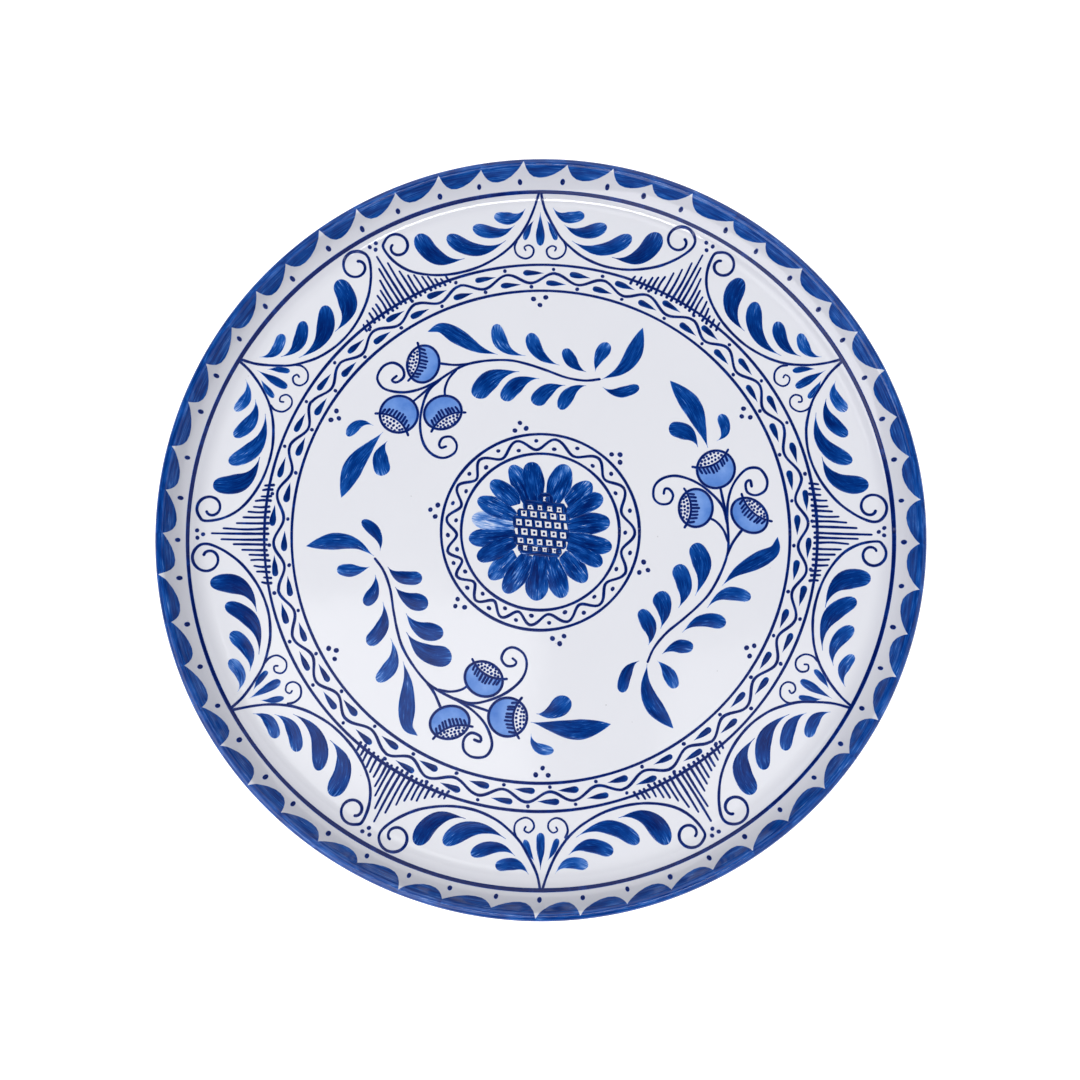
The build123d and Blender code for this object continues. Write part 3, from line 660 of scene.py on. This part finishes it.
def make_rim_band(material, cusps):
    """The blue band: brushed round the lip, its lower edge a row of leaning lobes."""
    share = 0.5 - 0.5 * np.cos(np.linspace(0, math.pi, LOBE_COLUMNS, endpoint=False))
    heights = np.clip(SCALLOP_POINT_R + stray(0.7, SCALLOPS), *SCALLOP_POINT_LIMITS)
    depths = SCALLOP_LOBE_R + stray(0.25, SCALLOPS)
    rise = np.interp(share, LOBE[:, 0], LOBE[:, 1])
    bearings, edge = [], []
    for n, (here, after) in enumerate(with_next(cusps, -360)):
        top = np.where(share < 0.36, heights[n], heights[(n + 1) % SCALLOPS])
        bearings.append(here + (after - here) * share)
        edge.append(depths[n] + (top - depths[n]) * rise)
    bearings, edge = np.concatenate(bearings), np.concatenate(edge)
    columns = len(bearings)
    lip = lip_line(0)
    lip_run = run_along(lip)
    lip_end = lip_run[-1] * RIM_END
    wall_run = (LIP_START_R - edge) / math.cos(WALL_TURN)
    up = np.linspace(0, 1, RIM_ROWS)[:, None]
    run = -wall_run[None] + (lip_end + wall_run[None]) * up
    below = run < 0
    points = []
    for lift in (RIM_LIFT, SUNK):
        lifted = lip_line(lift)
        radius_lip = np.interp(run, lip_run, lifted[:, 0])
        z_lip = np.interp(run, lip_run, lifted[:, 1])
        radius_wall, z_wall = face_point(LIP_START_R + run * math.cos(WALL_TURN), lift)
        radius = np.where(below, radius_wall, radius_lip)
        z = np.where(below, z_wall, z_lip)
        turns = np.radians(bearings)[None]
        points.append(np.stack([radius * np.cos(turns), radius * np.sin(turns), z], -1).reshape(-1, 3))
    shift = RIM_ROWS * columns
    index = np.arange(shift).reshape(RIM_ROWS, columns)
    quads = ring_quads(index[:-1], index[1:])
    faces = quads.tolist() + (quads[:, ::-1] + shift).tolist()
    low, low_after = index[0], np.roll(index[0], -1)
    faces += np.stack([low, low_after, low_after + shift, low + shift], -1).tolist()
    faces += ring_quads(index[-1], index[-1] + shift).tolist()
    along = np.broadcast_to(np.arange(columns) * 2 * math.pi * RIM_R / columns, index.shape)
    layers = {
        "along": np.tile(along.reshape(-1), 2), "across": np.tile(run.reshape(-1), 2),
        "seed": np.full(2 * shift, 0.37), "tone": np.full(2 * shift, RIM_TONE),
        "reach": np.zeros(2 * shift), "edge": np.tile((run + wall_run[None]).reshape(-1), 2),
    }
    band = build_mesh("rim_band", np.concatenate(points), faces, layers)
    return dress(band, material, "rim_scallop_band", slot="cobalt_brush")


def make_rim_dots(material, cusps):
    """One oval dab under each point of the rim band."""
    marks = Marks()
    for bearing in cusps:
        bearing = bearing + 0.6 + stray(0.15)
        radius = RIM_DAB_R + stray(0.2)
        marks.dot(polar(radius, bearing), rng.uniform(0.84, 0.98), stretch=1.12, facing=bearing)
    marks.piece("rim_dabs", material, "rim_dots")


def closed_line(marks, radius, width=LINE, centre=(0, 0)):
    """A banded line drawn on the turning wheel."""
    bearings = np.linspace(0, 360, max(int(radius * 4), 120))
    uneven = 1 + 0.08 * np.sin(np.radians(bearings) * 3 + 1) + 0.05 * np.sin(np.radians(bearings) * 11)
    marks.stroke(polar(radius, bearings, centre), width * uneven, reach=NO_END)


def make_border_line(material):
    """The banded line round the wall."""
    marks = Marks()
    closed_line(marks, BORDER_LINE_R, BORDER_LINE)
    marks.piece("border_ring", material, "border_line")


# ---- Garlands, drawn with their point towards +Y

SCROLL_RIGHT = [
    (0.2, 139), (1.8, 132.8), (4.7, 126.5), (8, 120.8), (11.8, 116.6), (17.5, 112), (26, 108.2),
    (36, 106.7), (46.5, 107.8), (54.5, 110.8), (60.3, 114.6),
]
CURL_RIGHT = ((56.6, 118.6), -8, 402, 6.0, 1.8)
SCROLL_LEFT = [
    (-0.4, 139), (-2.3, 132.8), (-5, 126.5), (-8.4, 121), (-11.8, 117), (-17, 112.8), (-25, 108.5),
    (-34.5, 105.9), (-43.5, 105.4), (-52, 107), (-58.5, 110.9),
]
CURL_LEFT = ((57.6, 117.2), -8, 402, 5.4, 1.8)
SMALL_CURL = [
    (9.2, 119.2), (10.2, 116.2), (9.2, 113), (6, 111.4), (3.2, 112.6), (2.6, 115.2), (4.4, 117),
    (6.3, 116.2), (5.6, 114.6),
]
# Tail, middle, head, width and, for the leaves, tone
GARLAND_LEAVES = [
    ((4.9, 132.9), (10, 129), (17.6, 130.2), 4.9, 0.66),
    ((9.6, 125.7), (17, 122.5), (26.6, 125.4), 5.5, 0.74),
    ((13, 119.2), (25, 115.2), (36.8, 121.4), 6.6, 0.82),
    ((29, 112), (40.2, 112.4), (47.7, 122.3), 7.4, 0.86),
]
FAN_PETALS = [
    ((0, 131), (0, 124), (0, 117), 3.5),
    ((-2.4, 127.7), (-4.5, 124.2), (-6.2, 119.4), 2.5),
    ((2.4, 127.7), (4.5, 124.2), (6.2, 119.4), 2.5),
]


def make_garlands(line_material, leaf_material):
    """Six ogee arches: scrolls, small curls, eight leaves each and a fan of three petals."""
    scrolls, leaves, petals = Marks(), Marks(), Marks()
    for n in range(GARLANDS):
        bearing = n * 360 / GARLANDS + stray(0.12)
        for sweep, end in (
            (SCROLL_RIGHT, curl(*CURL_RIGHT)), (SCROLL_LEFT, mirrored(curl(*CURL_LEFT))),
        ):
            path = np.concatenate([np.asarray(sweep, float), end])
            path[1:] = path[1:] + stray(0.3, (1, 2))
            draw_line(scrolls, turned(path, bearing), start=0.9)
        for path in (SMALL_CURL, mirrored(SMALL_CURL)):
            draw_line(scrolls, turned(jitter(path, 0.15), bearing), 0.9, end=0.85)
        for tail, middle, head, width, tone in GARLAND_LEAVES:
            for flip in (False, True):
                outline = np.array([tail, middle, head])
                if flip:
                    outline = mirrored(outline) + (-0.8, -0.3)
                outline = turned(jitter(outline, 0.3), bearing)
                draw_leaf(leaves, *outline, width * rng.uniform(0.93, 1.07), tone=tone + stray(0.05))
        for tail, middle, head, width in FAN_PETALS:
            outline = turned(jitter([tail, middle, head], 0.12), bearing)
            draw_leaf(petals, *outline, width, columns=9)
    scrolls.piece("garland_scroll_lines", line_material, "garland_scrolls")
    leaves.piece("garland_brush_leaves", leaf_material, "garland_leaves", slot="cobalt_brush")
    petals.piece("garland_fan_petals", leaf_material, "fan_petals", slot="cobalt_brush")


# ---- Combs between the garlands, drawn along +X

TOOTH_LENGTHS = [21.4, 16.4, 12.0, 8.7, 6.8, 5.3, 4.5, 2.9, 2.5, 2.2]  # from the middle outwards
TOOTH_PITCH = 2.17
COMB_IN_R = 107.6  # where the teeth start, inside the outer ring
COMB_DABS = ((133.0, 0), (135.3, 0.62), (135.3, -0.62))  # radius, and bearing from the comb's own


def make_combs(material):
    """Parallel teeth across the band's outer ring, longest in the middle, and three dabs beyond."""
    teeth, dabs = Marks(), Marks()
    for n in range(GARLANDS):
        bearing = n * 360 / GARLANDS + stray(0.25)
        slope = stray(0.03)
        for tooth in range(1 - len(TOOTH_LENGTHS), len(TOOTH_LENGTHS)):
            y = tooth * TOOTH_PITCH + stray(0.12)
            start = math.sqrt(COMB_IN_R**2 - y**2) - 0.4 + stray(0.3)
            length = 2.1 + TOOTH_LENGTHS[abs(tooth)] + stray(0.4)
            tip = y * 0.985 + slope * length
            bow = (y + tip) / 2 + stray(0.2)
            path = turned([(start, y), (start + length / 2, bow), (start + length, tip)], bearing)
            draw_line(teeth, path, 1.08, start=1.12, end=0.8)
        for radius, aside in COMB_DABS:
            dabs.dot(polar(radius + stray(0.15), bearing + aside), 0.85)
    teeth.piece("comb_teeth", material, "comb_hatching")
    dabs.piece("comb_dabs", material, "comb_dots")


# ---- The wavy band

BAND_WAVE_R, BAND_WAVE_RISE = 103.5, 1.95
BAND_CREST = 2.2  # bearing of the first crest
CREST_DROP_R, HOLLOW_DROP_R = 101.2, 105.55
CREST_DAB_R, HOLLOW_DAB_R = 107.2, 99.9


def wave_line(marks, centre_r, rise, crests, centre=(0, 0)):
    """A closed wavy line about a circle, one crest at each bearing."""
    bearings, radii = [], []
    for here, after in with_next(crests):
        share = np.linspace(0, 1, 22, endpoint=False)
        bearings.append(here + (after - here) * share)
        radii.append(centre_r + rise * np.cos(share * 2 * math.pi) * rng.uniform(0.93, 1.07))
    bearings, radii = np.concatenate(bearings), np.concatenate(radii)
    bearings, radii = np.append(bearings, crests[0] + 360), np.append(radii, radii[0])
    line = polar(radii, bearings, centre)
    uneven = 1 + 0.08 * np.sin(np.arange(len(line)) * 0.37)
    marks.stroke(line, LINE * uneven, reach=NO_END)


def make_band(line_material, leaf_material):
    """Two rings with a wavy line between them, a teardrop in each hollow and a dab at each crest."""
    rings, line, drops, dabs = Marks(), Marks(), Marks(), Marks()
    closed_line(rings, BAND_OUT_R)
    closed_line(rings, BAND_IN_R)
    pitch = 360 / BAND_WAVES
    crests = BAND_CREST + np.arange(BAND_WAVES) * pitch + stray(0.35, BAND_WAVES)
    wave_line(line, BAND_WAVE_R, BAND_WAVE_RISE, crests)
    for here, after in with_next(crests):
        hollow = (here + after) / 2
        for radius, middle in ((CREST_DROP_R, here - 0.3), (HOLLOW_DROP_R, hollow + 0.1)):
            radius = radius + stray(0.12)
            middle = middle + stray(0.25)
            draw_leaf(
                drops, polar(radius - 0.15, middle - 2.7), polar(radius + 0.05, middle),
                polar(radius + 0.2, middle + 1.9), 2.5 * rng.uniform(0.93, 1.08),
                tone=LINE_TONE, sharp=1.0, blunt=2.0, columns=7,
            )
        dabs.dot(polar(CREST_DAB_R + stray(0.1), here + 0.3), rng.uniform(0.7, 0.84))
        dabs.dot(polar(HOLLOW_DAB_R + stray(0.1), hollow), rng.uniform(0.7, 0.84))
    rings.piece("band_ring_lines", line_material, "band_rings")
    line.piece("band_wave_line", line_material, "band_wave")
    drops.piece("band_teardrop_marks", leaf_material, "band_teardrops", slot="cobalt_brush")
    dabs.piece("band_dabs", line_material, "band_dots")


TRIPLE = ((-2.3, 0.9), (2.2, 0.9), (0, -1.7))
OUTER_TRIPLE_R, INNER_TRIPLE_R = 94.0, 43.0
INNER_TRIPLE_BEARINGS = (44.5, 100.7, 168.2, 221.9, 279.5, 340.6)


def make_triples(material):
    """Groups of three dabs, six inside the band and six round the medallion."""
    dabs = Marks()
    band = [(OUTER_TRIPLE_R, n * 60 + 30.3, 1) for n in range(GARLANDS)]
    medallion = [(INNER_TRIPLE_R, bearing, -1) for bearing in INNER_TRIPLE_BEARINGS]
    for radius, bearing, way in band + medallion:
        centre = polar(radius, bearing)
        for x, y in TRIPLE:
            place = centre + turned((x + stray(0.2), way * y + stray(0.2)), bearing - 90)
            dabs.dot(place, rng.uniform(0.92, 1.06))
    dabs.piece("triple_dabs", material, "triple_dots")


# ---- Branches, drawn as the one that lies towards +Y

BRANCH_STEM = [
    (-57.2, 63.4), (-59.4, 61.4), (-57.5, 60.5), (-54.7, 62.8), (-55.4, 66.4), (-59, 68.5),
    (-63, 67), (-65.3, 62.5), (-63.3, 58.5), (-59, 56.8), (-53.5, 56.5), (-47.5, 58), (-41.5, 61),
    (-35, 65.2), (-29, 68), (-21, 69.4), (-12.5, 69.5), (-5.5, 68), (2, 65.5), (10, 62.5),
    (17.5, 61.2), (24, 61.8),
]
LONG_CURL = [
    (-39.5, 62.3), (-44.8, 57), (-47.3, 50), (-48, 42.5), (-46.5, 35.5), (-43, 31.2),
    (-38.5, 29.8), (-34.3, 31.8), (-33.4, 35.2), (-35.5, 38.2), (-38.8, 38), (-40.3, 35.6),
    (-39.6, 33.9), (-37.2, 34.6),
]
BERRY_STALKS = [
    [(-40.9, 68.3), (-34, 67.6), (-28, 68.2)],
    [(-41.5, 61), (-46.5, 56.5), (-51.2, 52.4)],
    [(-33.5, 66), (-36.7, 62), (-38.2, 58), (-38.2, 54.8)],
]
# Centre, radius along the cap, radius across it, direction of the seed cap
BERRIES = [
    ((-47, 68), 7.7, 6.3, 167),
    ((-56.5, 47.5), 7.6, 7.4, 236),
    ((-39, 48.2), 7.5, 6.7, 300),
]
# Tail, middle, head, width, tone
BRANCH_LEAVES = [
    ((-6.5, 71.8), (-15, 75.5), (-17.8, 84), 5.5, 0.66),
    ((7, 67.5), (-1, 72), (-4, 80), 5.5, 0.74),
    ((18, 65), (12.8, 68.5), (10, 74), 5.0, 0.78),
    ((21.5, 65), (23, 70.5), (26.8, 76), 5.0, 0.7),
    ((-8.5, 65), (-19, 62.5), (-25, 55), 7.6, 0.76),
    ((-1, 61.8), (-9, 60), (-14.5, 53.5), 6.6, 0.8),
    ((9.5, 59.7), (2.5, 57.5), (-2, 52.2), 6.5, 0.8),
    ((18, 59), (12, 56.5), (8, 50), 5.5, 0.76),
    ((25, 58.7), (31, 56.6), (38.5, 58.7), 4.6, 0.82),
    ((-66.5, 42.3), (-72, 43.2), (-76.3, 38.5), 4.2, 0.68),
    ((-60.8, 37), (-63.4, 31), (-61.6, 24), 6.8, 0.72),
]
# Spine, width, tone
BRANCH_BLADES = [
    ([(-17, 72.3), (-24.5, 74.6), (-32.5, 79.4), (-39.5, 83.2), (-45, 81.8)], 6.6, 0.74),
    ([(24.5, 61.7), (32, 65.5), (37.2, 72), (41.2, 82.8)], 6.8, 0.72),
    ([(-62.8, 40.3), (-69, 33.5), (-74.5, 26), (-79, 13.8)], 8.0, 0.72),
]


CAP_AT = 0.28  # where a cap starts, as a share of the depth


def berry_frame(points, centre, facing, bearing):
    """Points of a berry whose cap faces +X, placed on its branch."""
    return turned(turned(points, facing) + np.asarray(centre), bearing)


def cap_line(length, depth, y):
    """How far out a berry's cap line lies at a distance along it."""
    return depth * (CAP_AT + 0.36 * (y / length) ** 2)


def draw_berry(lines, wash, seeds, centre, length, depth, facing, bearing):
    """A berry: pale wash to its cap line, outline, cap line with spikes, lashes and seeds."""
    turns = np.linspace(0, 360, 56)
    outline = polar(1, turns) * (depth, length)
    outline *= 1 + 0.015 * np.sin(np.radians(turns) * 2 + rng.uniform(0, 6))[:, None]
    lines.stroke(berry_frame(outline, centre, facing, bearing), 1.12, reach=NO_END)
    side = np.linspace(-0.985, 0.985, 25) * length
    across = depth * np.sqrt(1 - (side / length) ** 2)
    cap, back = np.minimum(cap_line(length, depth, side), across), -across
    share = np.linspace(0, 1, 12)
    x = cap[:, None] + (back - cap)[:, None] * share[None]
    plan = np.stack([x, np.broadcast_to(side[:, None], x.shape)], -1)
    plan = berry_frame(plan, centre, facing, bearing)
    wash.grid(plan, WASH_LIFT, side[:, None], share[None], 0.5, share[None])
    spike = np.linspace(-1.09, 1.09, 9) * length
    path = np.stack([cap_line(length, depth, spike), spike], -1)
    draw_line(lines, berry_frame(path, centre, facing, bearing), 1.0)
    for y in np.linspace(-0.76, 0.76, 9) * length:
        y = y + stray(0.1)
        start = cap_line(length, depth, y)
        long = rng.uniform(3.0, 3.7) * (1 - 0.25 * (y / length) ** 2)
        path = [(start, y), (start - long / 2, y * 0.99), (start - long, y * 0.95)]
        draw_line(lines, berry_frame(path, centre, facing, bearing), 1.0)
    for count, reach_out in ((7, 0.46), (6, 0.66), (4, 0.85)):
        for y in (np.arange(count) - (count - 1) / 2) * length * 0.2:
            x = cap_line(length, depth, y) + depth * (reach_out - CAP_AT) * (1 - 0.4 * (y / length) ** 2)
            place = berry_frame((x + stray(0.08), y + stray(0.1)), centre, facing, bearing)
            seeds.dot(place, rng.uniform(0.5, 0.64))


def make_branches(line_material, leaf_material, wash_material):
    """Three berry branches round the medallion."""
    stems, leaves, lines, wash, seeds = (Marks() for _ in range(5))
    for n in range(BRANCHES):
        bearing = n * 360 / BRANCHES
        for path in (BRANCH_STEM, LONG_CURL, *BERRY_STALKS):
            draw_line(stems, turned(path, bearing), 1.15, end=0.9)
        for tail, middle, head, width, tone in BRANCH_LEAVES:
            end = np.array(head) + (np.array(head) - middle) * 0.1
            outline = turned(jitter([tail, middle, end], 0.25), bearing)
            draw_leaf(leaves, *outline, width * rng.uniform(0.98, 1.1), tone=tone + stray(0.04))
        for spine, width, tone in BRANCH_BLADES:
            draw_blade(leaves, turned(jitter(spine, 0.2), bearing), width, tone + stray(0.04))
        for centre, length, depth, facing in BERRIES:
            draw_berry(lines, wash, seeds, centre, length, depth, facing, bearing)
    stems.piece("branch_stem_lines", line_material, "branch_stems")
    leaves.piece("branch_brush_leaves", leaf_material, "branch_leaves", slot="cobalt_brush")
    lines.piece("berry_lines", line_material, "berry_linework")
    wash.piece("berry_wash_fill", wash_material, "berry_washes", slot="pale_blue_wash")
    seeds.piece("berry_seed_dabs", line_material, "berry_seed_dots")


# ---- The medallion

MEDALLION_OUT_R, MEDALLION_IN_R = 39.1, 31.2
MEDALLION_WAVES = 16
MEDALLION_WAVE_R, MEDALLION_WAVE_RISE = 35.1, 2.2
MEDALLION_CREST_DAB_R, MEDALLION_HOLLOW_DAB_R = 33.5, 36.4
PETAL_MIDDLE_R, PETAL_TIP_R = 18.5, 27.9
PETAL_BEARINGS = [6, 28, 44, 70, 98, 115, 136, 154, 170, 187, 205, 224, 240, 266, 288, 310, 329, 346]
PETAL_TONES = [0.86, 0.82, 0.8, 0.76, 0.84, 0.78, 0.78, 0.74, 0.42, 0.84, 0.86, 0.7, 0.84, 0.8, 0.78, 0.8,
               0.78, 0.86]
# Rows of the seed head from the top: height, first cell, number of cells, size of a cell
SEED_ROWS = [
    (12.3, 1.7, 1, 1.8), (8.7, -4.3, 4, 1.8), (5.9, -6.8, 5, 2.3), (2.2, -8.8, 5, 2.5),
    (-1.5, -6.6, 5, 2.4), (-5.1, -8.2, 5, 2.2), (-8.0, -6.3, 4, 1.7),
]
SEED_PITCH, SEED_SLOPE = 3.8, -0.1
SEED_EDGE = 2.2  # from the last cell's middle to the row's end


def make_medallion(line_material, petal_material):
    """Two rings, a hand-spaced wave with dabs, and the sunflower with its chequered seed head."""
    rings, line, dabs, petals, head = (Marks() for _ in range(5))
    closed_line(rings, MEDALLION_OUT_R, centre=MEDALLION_AT)
    closed_line(rings, MEDALLION_IN_R, centre=MEDALLION_AT)
    even = 28 + np.arange(MEDALLION_WAVES) * 360 / MEDALLION_WAVES
    crests = even + 11.8 * np.sin(np.radians(even - 35)) + stray(0.6, MEDALLION_WAVES)
    wave_line(line, MEDALLION_WAVE_R, MEDALLION_WAVE_RISE, crests, MEDALLION_AT)
    for here, after in with_next(crests):
        for radius, at in ((MEDALLION_CREST_DAB_R, here), (MEDALLION_HOLLOW_DAB_R, (here + after) / 2)):
            dabs.dot(polar(radius, at, MEDALLION_AT), rng.uniform(0.88, 1.02), stretch=0.85, facing=at)
    bearings = np.array(PETAL_BEARINGS)
    room = (np.roll(bearings, -1) - np.roll(bearings, 1)) % 360 / 2
    order = rng.permutation(len(PETAL_BEARINGS))
    for layer, n in enumerate(order):
        bearing, tone = PETAL_BEARINGS[n], PETAL_TONES[n]
        tip = (PETAL_TIP_R + stray(0.5), 0)
        middle = (PETAL_MIDDLE_R, stray(0.5))
        root = (head_edge(bearing), 0)
        outline = [turned(p, bearing) + FLOWER_AT for p in (root, middle, tip)]
        width = min(max(0.4 * room[n], 7.7), 9.6) * rng.uniform(0.97, 1.04)
        draw_leaf(petals, *outline, width, lift=LEAF_LIFT + 0.002 * layer, tone=tone - 0.06, dome=0.03,
                  fattest=0.6, sharp=0.9, tail_start=0.45, blunt=2.3, columns=17)
    make_seed_head(head)
    rings.piece("medallion_ring_lines", line_material, "medallion_rings")
    line.piece("medallion_wave_line", line_material, "medallion_wave")
    dabs.piece("medallion_dabs", line_material, "medallion_dots")
    petals.piece("sunflower_brush_petals", petal_material, "sunflower_petals", slot="cobalt_brush")
    head.piece("sunflower_seed_head", petal_material, "sunflower_lattice")


def head_edge(bearing):
    """How far the seed head's cells reach at a bearing, which is where a petal starts."""
    side, top = abs(math.cos(math.radians(bearing))), abs(math.sin(math.radians(bearing)))
    return min(10.2 / max(side, 0.1), 9.8 / max(top, 0.1))


def make_seed_head(head):
    """Crossed strokes that leave rows of small white cells, with a dab in each cell."""
    lift = LEAF_LIFT + 0.06

    def seat(x, y):
        """A place in the head, whose rows slope down to the right."""
        return FLOWER_AT + (x, y + SEED_SLOPE * x)

    heights = [row[0] for row in SEED_ROWS]
    edges = [heights[0] + 1.7, *((a + b) / 2 for a, b in zip(heights, heights[1:])), heights[-1] - 1.6]
    for n, edge in enumerate(edges):
        above, below = SEED_ROWS[max(n - 1, 0)], SEED_ROWS[min(n, len(SEED_ROWS) - 1)]
        left = min(above[1], below[1]) - SEED_EDGE
        right = max(row[1] + SEED_PITCH * (row[2] - 1) for row in (above, below)) + SEED_EDGE
        width = abs(above[0] - below[0]) - (above[3] + below[3]) / 2 if above is not below else 1.6
        path = [seat(x, edge + stray(0.06)) for x in np.linspace(left, right, 5)]
        draw_line(head, path, width, lift)
    for n, (height, first, count, size) in enumerate(SEED_ROWS):
        for gap in range(count + 1):
            x = first + SEED_PITCH * (gap - 0.5) + stray(0.08)
            path = [seat(x - 0.15, edges[n]), seat(x, height), seat(x + 0.15, edges[n + 1])]
            draw_line(head, path, SEED_PITCH - size, lift + 0.012)
        for cell in range(count):
            place = seat(first + SEED_PITCH * cell, height) + stray(0.1, 2)
            head.dot(place, size * rng.uniform(0.21, 0.27), lift)
    # The strokes run together, so none of them has a pale edge.
    head.layers["edge"] = [np.ones_like(edge) for edge in head.layers["edge"]]


# ---- Stage, light and camera


def make_stage():
    """A plain pale floor that stays bright under the soft light."""
    shader = Shader("pale_floor")
    grain = shader.noise(shader.place(), 30, 2)
    base = shader.mix(grain, colour(252, 252, 253), colour(248, 248, 250))
    material = shader.finish(
        Base_Color=base, Roughness=0.9, Emission_Color=(1, 1, 1, 1), Emission_Strength=0.55,
    )
    reach, low = 4000, -0.05
    corners = [(-reach, -reach, low), (reach, -reach, low), (reach, reach, low), (-reach, reach, low)]
    floor = build_mesh("floor", corners, [(0, 1, 2, 3)], uneven=False)
    floor.data.materials.append(material)


def softbox(name, place, size, watts, target=(0, 0, 0)):
    """A rectangular soft light that faces a point."""
    light = bpy.data.lights.new(name, "AREA")
    light.shape = "RECTANGLE"
    light.size, light.size_y = size
    light.energy = watts
    lamp = bpy.data.objects.new(name, light)
    lamp.location = place
    aim = Vector(target) - Vector(place)
    lamp.rotation_euler = aim.to_track_quat("-Z", "Y").to_euler()
    bpy.context.scene.collection.objects.link(lamp)


def make_light():
    """Soft light from the sides; a strip and two faint panels overhead show in the gloss."""
    softbox("key", (-1.5, -1.4, 1.8), (3.0, 2.4), 66)
    softbox("fill_right", (1.7, -0.9, 1.6), (3.0, 2.6), 21)
    softbox("fill_back", (0.3, 1.9, 1.7), (3.0, 2.6), 34)
    softbox("strip", (0.02, -0.36, 1.5), (0.66, 0.11), 3.6, (0.02, 0.0, 0))
    softbox("panel_left", (-0.18, 0.026, 1.5), (0.34, 0.24), 0.45, (-0.18, 0.026, 0))
    softbox("panel_right", (0.27, -0.011, 1.5), (0.24, 0.20), 0.15, (0.27, -0.011, 0))
    world = bpy.data.worlds.new("studio")
    world.use_nodes = True
    tint, strength = world.node_tree.nodes["Background"].inputs[:2]
    tint.default_value, strength.default_value = (0.9, 0.95, 1.0, 1), 0.05
    bpy.context.scene.world = world


CAMERA_TILT = math.radians(8.28)
CAMERA_REACH = 0.726
CAMERA_AIM = (-0.0003, -0.0018)
CAMERA_LENS, CAMERA_SENSOR = 60.633, 36.0


def make_camera():
    """Nearly overhead, a little towards -Y, close enough that the perspective shows."""
    camera = bpy.data.cameras.new("camera")
    camera.sensor_width = CAMERA_SENSOR
    camera.lens = CAMERA_LENS
    holder = bpy.data.objects.new("camera", camera)
    holder.location = (
        CAMERA_AIM[0], CAMERA_AIM[1] - CAMERA_REACH * math.sin(CAMERA_TILT),
        CAMERA_REACH * math.cos(CAMERA_TILT),
    )
    holder.rotation_euler = (CAMERA_TILT, 0, 0)
    bpy.context.scene.collection.objects.link(holder)
    bpy.context.scene.camera = holder
    bpy.context.scene.view_settings.view_transform = "Standard"


# ---- Make everything

glaze = white_glaze()
lines = line_paint()
leaves = brush_paint("cobalt_leaf", 0.95, 0.45, 0.6, 2.6)
petals = brush_paint("cobalt_petal", 1.1, 1.0, 0.5, 4.0)
rim = brush_paint("cobalt_rim", 0.9, 0.6, 0.0, 1.6, 0.4)
make_glaze(glaze)
make_clay(bare_clay(), glaze)
rim_cusps = scallop_cusps()
make_rim_band(rim, rim_cusps)
make_rim_dots(lines, rim_cusps)
make_border_line(lines)
make_garlands(lines, leaves)
make_combs(lines)
make_band(lines, leaves)
make_triples(lines)
make_branches(lines, leaves, wash_paint())
make_medallion(lines, petals)
make_stage()
make_light()
make_camera()
